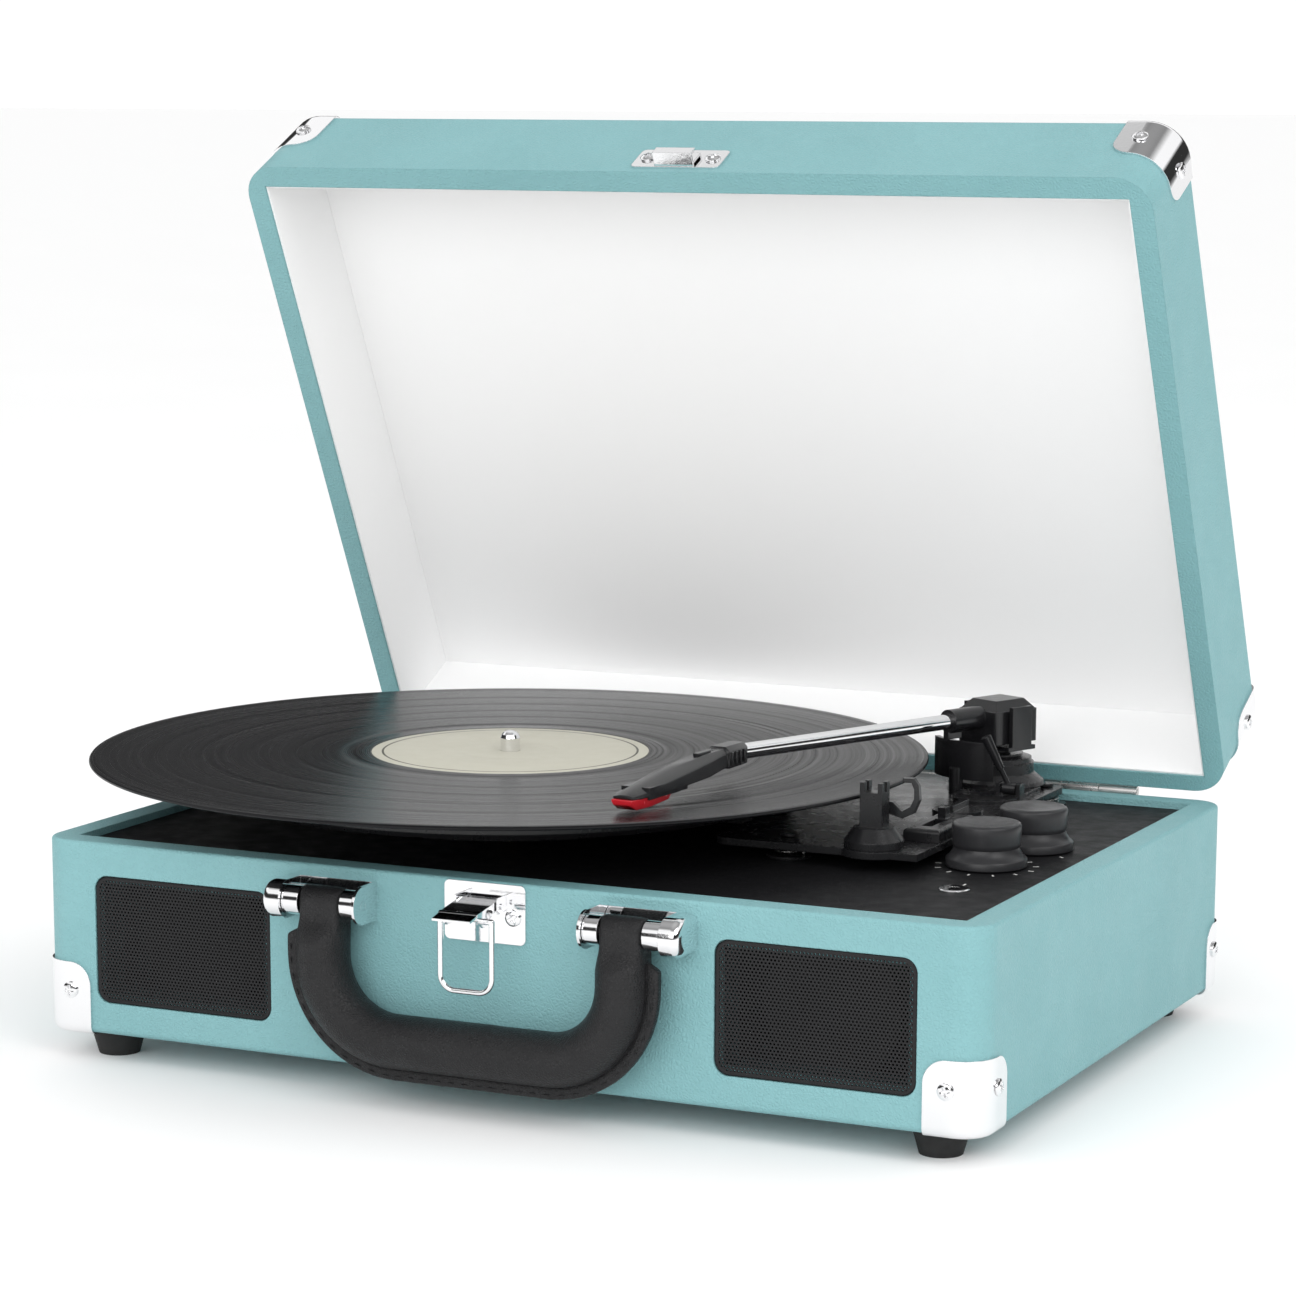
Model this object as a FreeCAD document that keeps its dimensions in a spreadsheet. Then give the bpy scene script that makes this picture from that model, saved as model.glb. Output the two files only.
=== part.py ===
"""Portable suitcase record player: hinged case, belt-driven platter, tonearm, latch and handle.

Millimetres. The origin is on the floor under the centre of the case, +X to the right, +Y to the back, +Z up.
The player is drawn playing: lid open, stylus just over the record, handle and latch bail hanging down.
Lid pieces are drawn closed, round an origin on the hinge line, and their Placement opens the lid.
Tonearm pieces are drawn along +X from the arm's pivot line, and their Placement turns them over the record.
"""
import FreeCAD, Part
import math
import os
import Sketcher
from FreeCAD import Placement, Rotation, Vector

DIMENSIONS = {
    # case
    "case_width": 350.0, "case_depth": 250.0, "base_height": 68.0, "lid_height": 42.0,
    "foot_height": 10.0, "foot_inset": 20.0, "foot_inset_back": 17.0, "wall": 10.0, "floor_thickness": 5.0,
    "base_corner": 11.0, "lid_corner": 13.0, "edge_round": 2.5, "inner_corner": 1.5,
    "lid_wall": 8.0, "lid_back_wall": 6.6, "lid_top": 3.0, "liner": 0.7, "seam_gap": 1.0, "lid_open": 64.0,
    # hinge
    "hinge_out": 2.2, "barrel_radius": 2.0, "hinge_pin_radius": 0.9, "leaf_thickness": 0.7,
    "leaf_height": 12.0, "knuckle_pitch": 14.8, "knuckle_gap": 0.3,
    # deck and chassis
    "deck_thickness": 4.0, "deck_recess": 2.5, "deck_gap": 0.2, "deck_ledge": 4.0,
    "chassis_gap": 4.5, "chassis_thickness": 2.5,
    # platter and record
    "platter_x": -52.5, "platter_y": -5.5, "platter_radius": 104.0, "record_radius": 150.5,
    "record_top": 99.8, "record_thickness": 1.6, "mat_thickness": 1.0, "label_radius": 50.0,
    "spindle_radius": 3.55, "spindle_proud": 7.2, "drive_ring_radius": 70.0,
    "pulley_radius": 5.0, "motor_reach": 85.0, "motor_heading": 60.0, "running_gap": 0.05,
    # speakers
    "grille_x": 117.6, "grille_z": 44.0, "grille_width": 70.0, "grille_height": 45.0,
    "grille_corner": 5.0, "grille_thickness": 1.0, "grille_hole_radius": 1.35, "grille_pitch": 3.9,
    # tonearm
    "arm_x": 96.6, "arm_y": 95.5, "arm_axis_z": 109.0, "arm_heading": 246.5,
    "tube_radius": 2.75, "tube_end": 130.0, "head_offset": 19.1, "stylus_reach": 72.0,
    # controls
    "knob_radius": 11.8, "knob_skirt": 13.9, "knob_height": 15.0,
    "volume_x": 134.8, "volume_y": -17.0, "function_x": 138.8, "function_y": 18.5,
    "rest_x": 101.0, "rest_y": -35.0, "rest_top": 104.8,
    # handle and latch
    "handle_x": 55.5, "handle_pin_y": -134.5, "handle_pin_z": 67.5, "grip_y": -136.0,
    "grip_radius": 9.2, "grip_bend": 27.0, "grip_bottom": 23.0,
    "latch_pin_y": -129.5, "latch_pin_z": 71.0, "bail_y": -139.0, "bail_z": 67.5, "bail_drop": 24.0,
    # screws
    "screw_head": 2.7, "screw_head_height": 1.1, "screw_shank": 1.25, "screw_length": 6.5, "hole_gap": 0.05,
    "cap_thickness": 0.8, "cap_reach": 20.0, "cap_height": 25.0,
}

doc = FreeCAD.newDocument("record_player")
sheet = doc.addObject("Spreadsheet::Sheet", "Dims")
for row, (alias, number) in enumerate(DIMENSIONS.items(), start=1):
    sheet.set(f"A{row}", alias.replace("_", " "))
    sheet.set(f"B{row}", str(number))
    sheet.setAlias(f"B{row}", alias)
doc.recompute()


class Size:
    """A number that remembers the sheet expression it is worked out from."""

    def __init__(self, value, text):
        self.value = value
        self.text = text

    def __add__(self, other):
        return Size(self.value + number_of(other), f"({self.text} + {text_of(other)})")

    def __sub__(self, other):
        return Size(self.value - number_of(other), f"({self.text} - {text_of(other)})")

    def __mul__(self, other):
        return Size(self.value * number_of(other), f"({self.text} * {text_of(other)})")

    def __truediv__(self, other):
        return Size(self.value / number_of(other), f"({self.text} / {text_of(other)})")

    def __neg__(self):
        return Size(-self.value, f"(0 - {self.text})")

    def __radd__(self, other):
        return Size(other + self.value, f"({text_of(other)} + {self.text})")

    def __rsub__(self, other):
        return Size(other - self.value, f"({text_of(other)} - {self.text})")

    def __rmul__(self, other):
        return Size(other * self.value, f"({text_of(other)} * {self.text})")


def number_of(size):
    return size.value if isinstance(size, Size) else float(size)


def text_of(size):
    return size.text if isinstance(size, Size) else f"({float(size)!r})"


def dim(alias):
    return Size(float(sheet.get(alias)), f"Dims.{alias}")


def bind(obj, prop, size):
    """Ties a property to the sheet, or sets it when the size is a plain number."""
    obj.setExpression(prop, text_of(size))


def move(obj, x=0, y=0, z=0, turn=0, about=Vector(0, 0, 1)):
    """Gives an object its Placement, each component tied to the sheet."""
    start = Vector(number_of(x), number_of(y), number_of(z))
    obj.Placement = Placement(start, Rotation(about, number_of(turn)))
    for axis, size in (("x", x), ("y", y), ("z", z)):
        if isinstance(size, Size):
            bind(obj, f"Placement.Base.{axis}", size)
    if isinstance(turn, Size):
        bind(obj, "Placement.Rotation.Angle", turn)
    return obj


# ---------------------------------------------------------------- primitives and booleans

def block(name, x, y, z, dx, dy, dz):
    """A box from its lowest corner."""
    obj = doc.addObject("Part::Box", name)
    for prop, size in (("Length", dx), ("Width", dy), ("Height", dz)):
        bind(obj, prop, size)
    return move(obj, x, y, z)


def centred(name, x, y, z, dx, dy, dz):
    """A box centred in X and Y, standing on z."""
    return block(name, x - 0.5 * dx, y - 0.5 * dy, z, dx, dy, dz)


AXES = {"z": (Vector(0, 0, 1), 0), "x": (Vector(0, 1, 0), 90), "y": (Vector(1, 0, 0), -90)}


def rod(name, x, y, z, radius, length, axis="z"):
    """A cylinder that starts at a point and runs along +X, +Y or +Z."""
    obj = doc.addObject("Part::Cylinder", name)
    bind(obj, "Radius", radius)
    bind(obj, "Height", length)
    about, angle = AXES[axis]
    return move(obj, x, y, z, angle, about)


def cone(name, x, y, z, bottom_radius, top_radius, height):
    obj = doc.addObject("Part::Cone", name)
    bind(obj, "Radius1", bottom_radius)
    bind(obj, "Radius2", top_radius)
    bind(obj, "Height", height)
    return move(obj, x, y, z)


def compound(name, pieces):
    obj = doc.addObject("Part::Compound", name)
    obj.Links = pieces
    return obj


def fuse(name, pieces):
    obj = doc.addObject("Part::MultiFuse", name)
    obj.Shapes = pieces
    obj.Refine = True
    return obj


def cut(name, base, tools):
    obj = doc.addObject("Part::Cut", name)
    obj.Base = base
    obj.Tool = tools[0] if len(tools) == 1 else compound(f"{name}_tools", tools)
    return obj


def common(name, pieces):
    obj = doc.addObject("Part::MultiCommon", name)
    obj.Shapes = pieces
    return obj


def edges_where(shape, test):
    return [index for index, edge in enumerate(shape.Edges, start=1) if test(edge)]


def runs_along(edge, axis):
    """True for a straight edge parallel to a world axis."""
    if len(edge.Vertexes) != 2:
        return False
    span = edge.Vertexes[1].Point - edge.Vertexes[0].Point
    return span.Length > 1e-6 and abs(abs(span.dot(axis)) - span.Length) < 1e-6


def rounded(name, base, test, radius):
    """Rounds the edges of a finished Part object that pass the test."""
    doc.recompute()
    obj = doc.addObject("Part::Fillet", name)
    obj.Base = base
    value = number_of(radius)
    obj.Edges = [(index, value, value) for index in edges_where(base.Shape, test)]
    return obj


UP = Vector(0, 0, 1)
RIGHT = Vector(1, 0, 0)
BACK = Vector(0, 1, 0)


def level(edge, height):
    """True for an edge that lies wholly at one height."""
    box = edge.BoundBox
    return abs(box.ZMin - height) < 1e-4 and abs(box.ZMax - height) < 1e-4


# ---------------------------------------------------------------- sketches and PartDesign features

def new_body(name):
    return doc.addObject("PartDesign::Body", name)


def plane_sketch(body, name, plane, offset=0):
    """A sketch on one of the body's origin planes, moved along the plane's normal."""
    sketch = body.newObject("Sketcher::SketchObject", name)
    support = [item for item in body.Origin.OriginFeatures if item.Role == plane][0]
    sketch.AttachmentSupport = [(support, "")]
    sketch.MapMode = "FlatFace"
    bind(sketch, "AttachmentOffset.Base.z", offset)
    return sketch


def pin_point(sketch, item, end, u, v):
    """Ties one point of the sketch to the sheet."""
    for kind, size in (("DistanceX", u), ("DistanceY", v)):
        index = sketch.addConstraint(Sketcher.Constraint(kind, -1, 1, item, end, number_of(size)))
        sketch.renameConstraint(index, f"{kind}_{item}_{end}")
        bind(sketch, f"Constraints.{kind}_{item}_{end}", size)


def outline(sketch, points):
    """A closed outline of straight lines through (u, v) points."""
    first = sketch.GeometryCount
    corners = [Vector(number_of(u), number_of(v), 0) for u, v in points]
    count = len(corners)
    for index in range(count):
        sketch.addGeometry(Part.LineSegment(corners[index], corners[(index + 1) % count]), False)
    for index in range(count):
        following = first + (index + 1) % count
        sketch.addConstraint(Sketcher.Constraint("Coincident", first + index, 2, following, 1))
    for index, (u, v) in enumerate(points):
        pin_point(sketch, first + index, 1, u, v)


def rectangle(sketch, u, v, width, height):
    """A rectangle centred on (u, v)."""
    left, right = u - 0.5 * width, u + 0.5 * width
    low, high = v - 0.5 * height, v + 0.5 * height
    outline(sketch, [(left, low), (right, low), (right, high), (left, high)])


def circle(sketch, u, v, radius):
    item = sketch.addGeometry(
        Part.Circle(Vector(number_of(u), number_of(v), 0), Vector(0, 0, 1), number_of(radius)), False)
    pin_point(sketch, item, 3, u, v)
    index = sketch.addConstraint(Sketcher.Constraint("Radius", item, number_of(radius)))
    sketch.renameConstraint(index, f"radius_{item}")
    bind(sketch, f"Constraints.radius_{item}", radius)


def pad(body, sketch, length, reverse=False):
    feature = body.newObject("PartDesign::Pad", f"{sketch.Name}_pad")
    feature.Profile = sketch
    feature.Reversed = reverse
    bind(feature, "Length", length)
    body.Tip = feature
    return feature


def pocket(body, sketch, length, reverse=False):
    """Cuts a sketch into the body and makes sure that something was removed."""
    doc.recompute()
    before = body.Shape.Volume
    feature = body.newObject("PartDesign::Pocket", f"{sketch.Name}_pocket")
    feature.Profile = sketch
    feature.Reversed = reverse
    bind(feature, "Length", length)
    body.Tip = feature
    doc.recompute()
    if body.Shape.Volume > before - 1e-3:
        raise RuntimeError(f"{sketch.Name} removes nothing")
    return feature


def body_fillet(body, test, radius):
    doc.recompute()
    base = body.Tip
    feature = body.newObject("PartDesign::Fillet", f"{base.Name}_round")
    feature.Base = (base, [f"Edge{index}" for index in edges_where(base.Shape, test)])
    bind(feature, "Radius", radius)
    body.Tip = feature
    return feature


def turned(name, points, x=0, y=0):
    """A body of revolution about a vertical line, from its (radius, height) outline."""
    body = new_body(name)
    sketch = plane_sketch(body, f"{name}_profile", "XZ_Plane")
    outline(sketch, points)
    feature = body.newObject("PartDesign::Revolution", f"{name}_turn")
    feature.Profile = sketch
    feature.ReferenceAxis = (sketch, ["V_Axis"])
    feature.Angle = 360
    body.Tip = feature
    return move(body, x, y, 0)


def plate_body(name, z, thickness, draw):
    """A flat plate: draw(sketch) puts its outline on the XY plane at z."""
    body = new_body(name)
    sketch = plane_sketch(body, f"{name}_outline", "XY_Plane", z)
    draw(sketch)
    pad(body, sketch, thickness)
    return body


def side_prism(name, points, x, width):
    """A prism with an outline of (y, z) points, centred on x and as wide as width."""
    body = new_body(name)
    sketch = plane_sketch(body, f"{name}_side", "YZ_Plane", x - 0.5 * width)
    outline(sketch, points)
    pad(body, sketch, width)
    return body


# ---------------------------------------------------------------- shared heights and places

HALF_WIDTH = dim("case_width") / 2
HALF_DEPTH = dim("case_depth") / 2
CASE_BOTTOM = dim("foot_height")
CASE_TOP = CASE_BOTTOM + dim("base_height")
DECK_TOP = CASE_TOP - dim("deck_recess")
DECK_BOTTOM = DECK_TOP - dim("deck_thickness")
CHASSIS_BOTTOM = DECK_TOP + dim("chassis_gap")
CHASSIS_TOP = CHASSIS_BOTTOM + dim("chassis_thickness")
FRONT = -HALF_DEPTH
HINGE_Y = HALF_DEPTH + dim("hinge_out")
HINGE_Z = CASE_TOP + dim("seam_gap") / 2
LID_RIM = dim("seam_gap") / 2
LID_OUTER = LID_RIM + dim("lid_height")
LID_CENTRE_Y = -HINGE_Y
LID_FRONT = LID_CENTRE_Y - HALF_DEPTH
LID_BACK = LID_CENTRE_Y + HALF_DEPTH
PLATTER_X = dim("platter_x")
PLATTER_Y = dim("platter_y")
RECORD_BOTTOM = dim("record_top") - dim("record_thickness")
PLATTER_TOP = RECORD_BOTTOM - dim("mat_thickness")
MOTOR_ANGLE = math.radians(DIMENSIONS["motor_heading"])
MOTOR_X = PLATTER_X + dim("motor_reach") * math.cos(MOTOR_ANGLE)
MOTOR_Y = PLATTER_Y + dim("motor_reach") * math.sin(MOTOR_ANGLE)
GAP = dim("running_gap")
HOLE_GAP = dim("hole_gap")

parts = {}


def finish(label, obj, group=""):
    """Registers a finished sub-part under its own label. group moves it with the lid or the tonearm."""
    if group == "lid":
        move(obj, 0, HINGE_Y, HINGE_Z, dim("lid_open"), Vector(-1, 0, 0))
    if group == "arm":
        move(obj, dim("arm_x"), dim("arm_y"), 0, dim("arm_heading"))
    obj.Label = label
    parts[label] = obj
    return obj


# ---------------------------------------------------------------- screws

HEAD_DIRECTIONS = {
    "-z": Rotation(Vector(1, 0, 0), 180), "+z": Rotation(), "+x": Rotation(Vector(0, 1, 0), 90),
    "-x": Rotation(Vector(0, 1, 0), -90), "+y": Rotation(Vector(1, 0, 0), -90),
    "-y": Rotation(Vector(1, 0, 0), 90),
}


def screw(name, x, y, z, facing):
    """A pan-head screw whose head sits on (x, y, z) and faces outwards, and the hole it needs."""
    head = rod(f"{name}_head", 0, 0, 0, dim("screw_head"), dim("screw_head_height"))
    shank = rod(f"{name}_shank", 0, 0, -dim("screw_length"), dim("screw_shank"), dim("screw_length"))
    fastener = fuse(name, [head, shank])
    hole = rod(f"{name}_hole", 0, 0, 0, dim("screw_shank") + HOLE_GAP, dim("screw_length") + 1)
    drop = HEAD_DIRECTIONS[facing].multVec(Vector(0, 0, -number_of(dim("screw_length")) - 0.5))
    for obj, shift in ((fastener, Vector()), (hole, drop)):
        move(obj, x + shift.x, y + shift.y, z + shift.z)
        obj.Placement = Placement(obj.Placement.Base, HEAD_DIRECTIONS[facing])
    return fastener, hole


class ScrewSet:
    """The screws of one rigid group, and the holes they go through."""

    def __init__(self, name):
        self.name = name
        self.screws = []
        self.holes = []

    def add(self, x, y, z, facing):
        fastener, hole = screw(f"{self.name}_{len(self.screws) + 1}", x, y, z, facing)
        self.screws.append(fastener)
        self.holes.append(hole)

    def hole_group(self, name):
        return compound(name, self.holes)


base_screws = ScrewSet("base_screw")
lid_screws = ScrewSet("lid_screw")
FOOT_X = HALF_WIDTH - dim("foot_inset")
FOOT_Y = HALF_DEPTH - dim("foot_inset_back")
CAP = dim("cap_thickness")
LEAF = dim("leaf_thickness")
for side in (-1, 1):
    for end in (-1, 1):
        base_screws.add(side * FOOT_X, end * FOOT_Y, 5, "-z")
        corner_x = side * (HALF_WIDTH - 12)
        corner_y = end * (HALF_DEPTH - 12)
        face_y = end * (HALF_DEPTH + CAP)
        face_x = side * (HALF_WIDTH + CAP)
        base_screws.add(corner_x, face_y, CASE_BOTTOM + 15, "+y" if end > 0 else "-y")
        base_screws.add(face_x, corner_y, CASE_BOTTOM + 15, "+x" if side > 0 else "-x")
        lid_y = LID_CENTRE_Y + end * (HALF_DEPTH + CAP)
        lid_screws.add(corner_x, lid_y, LID_OUTER - 13, "+y" if end > 0 else "-y")
        lid_screws.add(face_x, LID_CENTRE_Y + corner_y, LID_OUTER - 13, "+x" if side > 0 else "-x")
LATCH_SCREW_X = 10.6
LATCH_SCREW_Z = dim("latch_pin_z") - 4.4
CATCH_SCREW_X = 12.5
CATCH_SCREW_Z = LID_RIM + 9.5
for side in (-1, 1):
    base_screws.add(side * LATCH_SCREW_X, FRONT - 0.8, LATCH_SCREW_Z, "-y")
    lid_screws.add(side * CATCH_SCREW_X, LID_FRONT - 0.8, CATCH_SCREW_Z, "-y")
HINGE_SCREW_X = [-130, -65, 0, 65, 130]
for screw_x in HINGE_SCREW_X:
    base_screws.add(screw_x, HALF_DEPTH + LEAF, HINGE_Z - 8.5, "+y")
    lid_screws.add(screw_x, LID_BACK + LEAF, 8.5, "+y")
finish("case_screws", compound("case_screw_group", base_screws.screws))
finish("lid_screws", compound("lid_screw_group", lid_screws.screws), "lid")


# ---------------------------------------------------------------- case, lid, liner and corner caps

def rounded_case(body, name, centre_y, z, height, corner, closed_end):
    """Pads the outside of a case half and rounds its upright and its closed edges."""
    sketch = plane_sketch(body, f"{name}_outside", "XY_Plane", z)
    rectangle(sketch, 0, centre_y, dim("case_width"), dim("case_depth"))
    pad(body, sketch, height)
    body_fillet(body, lambda edge: runs_along(edge, UP), corner)
    body_fillet(body, lambda edge: level(edge, number_of(closed_end)), dim("edge_round"))


def well(body, name, z, centre_y, width, depth, height):
    """Hollows the body upwards from z."""
    sketch = plane_sketch(body, name, "XY_Plane", z)
    rectangle(sketch, 0, centre_y, width, depth)
    pocket(body, sketch, height, reverse=True)


INNER_WIDTH = dim("case_width") - 2 * dim("wall")
INNER_DEPTH = dim("case_depth") - 2 * dim("wall")


def make_base_case():
    body = new_body("base_shell")
    rounded_case(body, "base", 0, CASE_BOTTOM, dim("base_height"), dim("base_corner"), CASE_BOTTOM)
    body_fillet(body, lambda edge: level(edge, number_of(CASE_TOP)), 1.2)
    well(body, "base_rim_well", DECK_BOTTOM, 0, INNER_WIDTH, INNER_DEPTH, 20)
    floor_top = CASE_BOTTOM + dim("floor_thickness")
    well(body, "base_inner_well", floor_top, 0, INNER_WIDTH - 2 * dim("deck_ledge"),
         INNER_DEPTH - 2 * dim("deck_ledge"), DECK_BOTTOM - floor_top + 1)
    tools = [base_screws.hole_group("base_screw_holes")]
    for side in (-1, 1):
        x = side * dim("grille_x")
        z = dim("grille_z") - dim("grille_height") / 2
        seat_width = dim("grille_width") + 2 * HOLE_GAP
        seat_height = dim("grille_height") + 2 * HOLE_GAP
        seat = centred(f"grille_seat_{side}", x, FRONT, z - HOLE_GAP, seat_width, 2.6, seat_height)
        window = centred(f"grille_window_{side}", x, FRONT + 8, z + 3,
                         dim("grille_width") - 6, 20, dim("grille_height") - 6)
        tools.append(rounded(f"grille_seat_round_{side}", seat,
                             lambda edge: runs_along(edge, BACK), dim("grille_corner") + HOLE_GAP))
        tools.append(window)
    panel = centred("panel_window", PANEL_X, HALF_DEPTH - 5, PANEL_Z - PANEL_HEIGHT / 2 + 3,
                    PANEL_WIDTH - 6, 30, PANEL_HEIGHT - 6)
    seat = centred("panel_seat", PANEL_X, HALF_DEPTH, PANEL_Z - PANEL_HEIGHT / 2 - HOLE_GAP,
                   PANEL_WIDTH + 2 * HOLE_GAP, 3, PANEL_HEIGHT + 2 * HOLE_GAP)
    tools += [panel, seat]
    finish("base_case", cut("base_case_cut", body, tools))


PANEL_X = 95.0
PANEL_Z = CASE_BOTTOM + 24
PANEL_WIDTH = 78.0
PANEL_HEIGHT = 24.0


def make_lid_case():
    body = new_body("lid_shell")
    rounded_case(body, "lid", LID_CENTRE_Y, LID_RIM, dim("lid_height"), dim("lid_corner"), LID_OUTER)
    width = dim("case_width") - 2 * dim("lid_wall")
    depth = dim("case_depth") - dim("lid_wall") - dim("lid_back_wall")
    centre_y = LID_CENTRE_Y + (dim("lid_wall") - dim("lid_back_wall")) / 2
    sketch = plane_sketch(body, "lid_well", "XY_Plane", LID_OUTER - dim("lid_top"))
    rectangle(sketch, 0, centre_y, width, depth)
    pocket(body, sketch, dim("lid_height") + 5)
    finish("lid_case", cut("lid_case_cut", body, [lid_screws.hole_group("lid_screw_holes")]), "lid")

    liner = new_body("liner_shell")
    rim = LID_RIM + 0.6
    height = LID_OUTER - dim("lid_top") - rim
    sketch = plane_sketch(liner, "liner_outside", "XY_Plane", rim)
    rectangle(sketch, 0, centre_y, width, depth)
    pad(liner, sketch, height)
    sketch = plane_sketch(liner, "liner_well", "XY_Plane", rim + height - dim("liner"))
    rectangle(sketch, 0, centre_y, width - 2 * dim("liner"), depth - 2 * dim("liner"))
    pocket(liner, sketch, height + 5)
    finish("lid_liner", liner, "lid")


def envelope(name, centre_y, z, height, corner, grow, closed_z):
    """The outside of a case half, grown outwards, for the corner caps that hug it."""
    raw = block(f"{name}_raw", -HALF_WIDTH - grow, centre_y - HALF_DEPTH - grow, z - grow,
                dim("case_width") + 2 * grow, dim("case_depth") + 2 * grow, height + 2 * grow)
    upright = rounded(f"{name}_upright", raw, lambda edge: runs_along(edge, UP), corner + grow)
    level_z = number_of(closed_z)
    return rounded(name, upright, lambda edge: level(edge, level_z), dim("edge_round") + grow)


def make_caps(label, name, centre_y, z, height, corner, closed_z, low, holes, group):
    """Four pressed corner caps: the shell round the case, kept only near each corner."""
    inner = envelope(f"{name}_inner", centre_y, z, height, corner, 0, closed_z)
    sign = -1 if low else 1
    outer = envelope(f"{name}_outer", centre_y, z, height, corner, CAP, closed_z + sign * CAP)
    regions = []
    reach = dim("cap_reach")
    tall = dim("cap_height")
    for side in (-1, 1):
        for end in (-1, 1):
            x = side * (HALF_WIDTH + 2 - (reach + 2) / 2)
            y = centre_y + end * (HALF_DEPTH + 2 - (reach + 2) / 2)
            base_z = z - 2 if low else z + height - tall
            box = centred(f"{name}_region_{side}_{end}", x, y, base_z, reach + 2, reach + 2, tall + 2)
            inner_x = number_of(x) - side * (number_of(reach) + 2) / 2
            inner_y = number_of(y) - end * (number_of(reach) + 2) / 2
            free_z = number_of(base_z) + (number_of(tall) + 2 if low else 0)

            def free_edge(edge, inner_x=inner_x, inner_y=inner_y, free_z=free_z):
                middle = edge.BoundBox.Center
                hits = [abs(middle.x - inner_x) < 1e-3, abs(middle.y - inner_y) < 1e-3,
                        abs(middle.z - free_z) < 1e-3]
                return sum(hits) == 2

            regions.append(rounded(f"{name}_lobe_{side}_{end}", box, free_edge, 8))
    shell = cut(f"{name}_shell", outer, [inner])
    caps = common(f"{name}_pieces", [shell, compound(f"{name}_regions", regions)])
    finish(label, cut(f"{name}_drilled", caps, [holes]), group)


def make_case():
    make_base_case()
    make_lid_case()
    foot_notches = [rod(f"foot_notch_{side}_{end}", side * FOOT_X, end * FOOT_Y, CASE_BOTTOM - 2, 10.1, 3)
                    for side in (-1, 1) for end in (-1, 1)]
    cap_cuts = compound("base_cap_cuts", base_screws.holes + foot_notches)
    make_caps("base_corners", "base_cap", 0, CASE_BOTTOM, dim("base_height"), dim("base_corner"),
              CASE_BOTTOM, True, cap_cuts, "")
    make_caps("lid_corners", "lid_cap", LID_CENTRE_Y, LID_RIM, dim("lid_height"), dim("lid_corner"),
              LID_OUTER, False, lid_screws.hole_group("lid_cap_holes"), "lid")


def make_feet():
    feet = []
    for side in (-1, 1):
        for end in (-1, 1):
            tag = f"{side}_{end}"
            x, y = side * FOOT_X, end * FOOT_Y
            rubber = cone(f"foot_{tag}", x, y, 0, 7.2, 10, dim("foot_height"))
            bottom_well = rod(f"foot_well_{tag}", x, y, -1, dim("screw_head") + 0.6, 6)
            hole = rod(f"foot_hole_{tag}", x, y, 0, dim("screw_shank") + HOLE_GAP, 30)
            feet.append(cut(f"foot_cut_{tag}", rubber, [bottom_well, hole]))
    finish("rubber_feet", compound("feet", feet))


def make_deck():
    def draw(sketch):
        rectangle(sketch, 0, 0, INNER_WIDTH - 2 * dim("deck_gap"), INNER_DEPTH - 2 * dim("deck_gap"))
        circle(sketch, PLATTER_X, PLATTER_Y, 9)
        circle(sketch, MOTOR_X, MOTOR_Y, 19)
        circle(sketch, dim("arm_x"), dim("arm_y"), 8)
        circle(sketch, dim("volume_x"), dim("volume_y"), 3.4)
        circle(sketch, dim("function_x"), dim("function_y"), 3.4)
        circle(sketch, JACK_X, JACK_Y, 4.05)
    finish("deck_plate", plate_body("deck", DECK_BOTTOM, dim("deck_thickness"), draw))


JACK_X = 139.6
JACK_Y = -60.0


# ---------------------------------------------------------------- piano hinge

def knuckles(owner):
    """Start and end of each knuckle of one leaf along X. Leaves take turns along the pin."""
    pitch = number_of(dim("knuckle_pitch"))
    gap = number_of(dim("knuckle_gap"))
    count = 19
    start = -pitch * count / 2
    return [(start + index * pitch + gap / 2, start + (index + 1) * pitch - gap / 2)
            for index in range(count) if index % 2 == owner]


def make_leaf(label, owner, axis_y, axis_z, low_z, holes, group):
    """A hinge leaf: a thin plate on the case's back with rolled knuckles round the pin."""
    length = dim("knuckle_pitch") * 19
    plate = centred(f"{label}_plate", 0, axis_y - dim("hinge_out") + LEAF / 2, low_z,
                    length, LEAF, dim("leaf_height"))
    rolls = [rod(f"{label}_roll_{index}", start, axis_y, axis_z, dim("barrel_radius"), end - start, "x")
             for index, (start, end) in enumerate(knuckles(owner))]
    body = fuse(f"{label}_rolled", [plate] + rolls)
    notches = [rod(f"{label}_notch_{index}", start - 0.3, axis_y, axis_z, dim("barrel_radius") + 0.15,
                   end - start + 0.6, "x")
               for index, (start, end) in enumerate(knuckles(1 - owner))]
    bore = rod(f"{label}_bore", -number_of(length) / 2 - 1, axis_y, axis_z,
               dim("hinge_pin_radius") + GAP, length + 2, "x")
    finish(label, cut(f"{label}_cut", body, notches + [bore, holes]), group)


def make_hinge():
    make_leaf("hinge_leaf_base", 0, HINGE_Y, HINGE_Z, HINGE_Z - dim("leaf_height"),
              base_screws.hole_group("leaf_base_holes"), "")
    make_leaf("hinge_leaf_lid", 1, 0, 0, 0, lid_screws.hole_group("leaf_lid_holes"), "lid")
    length = dim("knuckle_pitch") * 19
    finish("hinge_pin", rod("hinge_rod", -length / 2, HINGE_Y, HINGE_Z, dim("hinge_pin_radius"), length, "x"))


# ---------------------------------------------------------------- speakers and grilles

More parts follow.
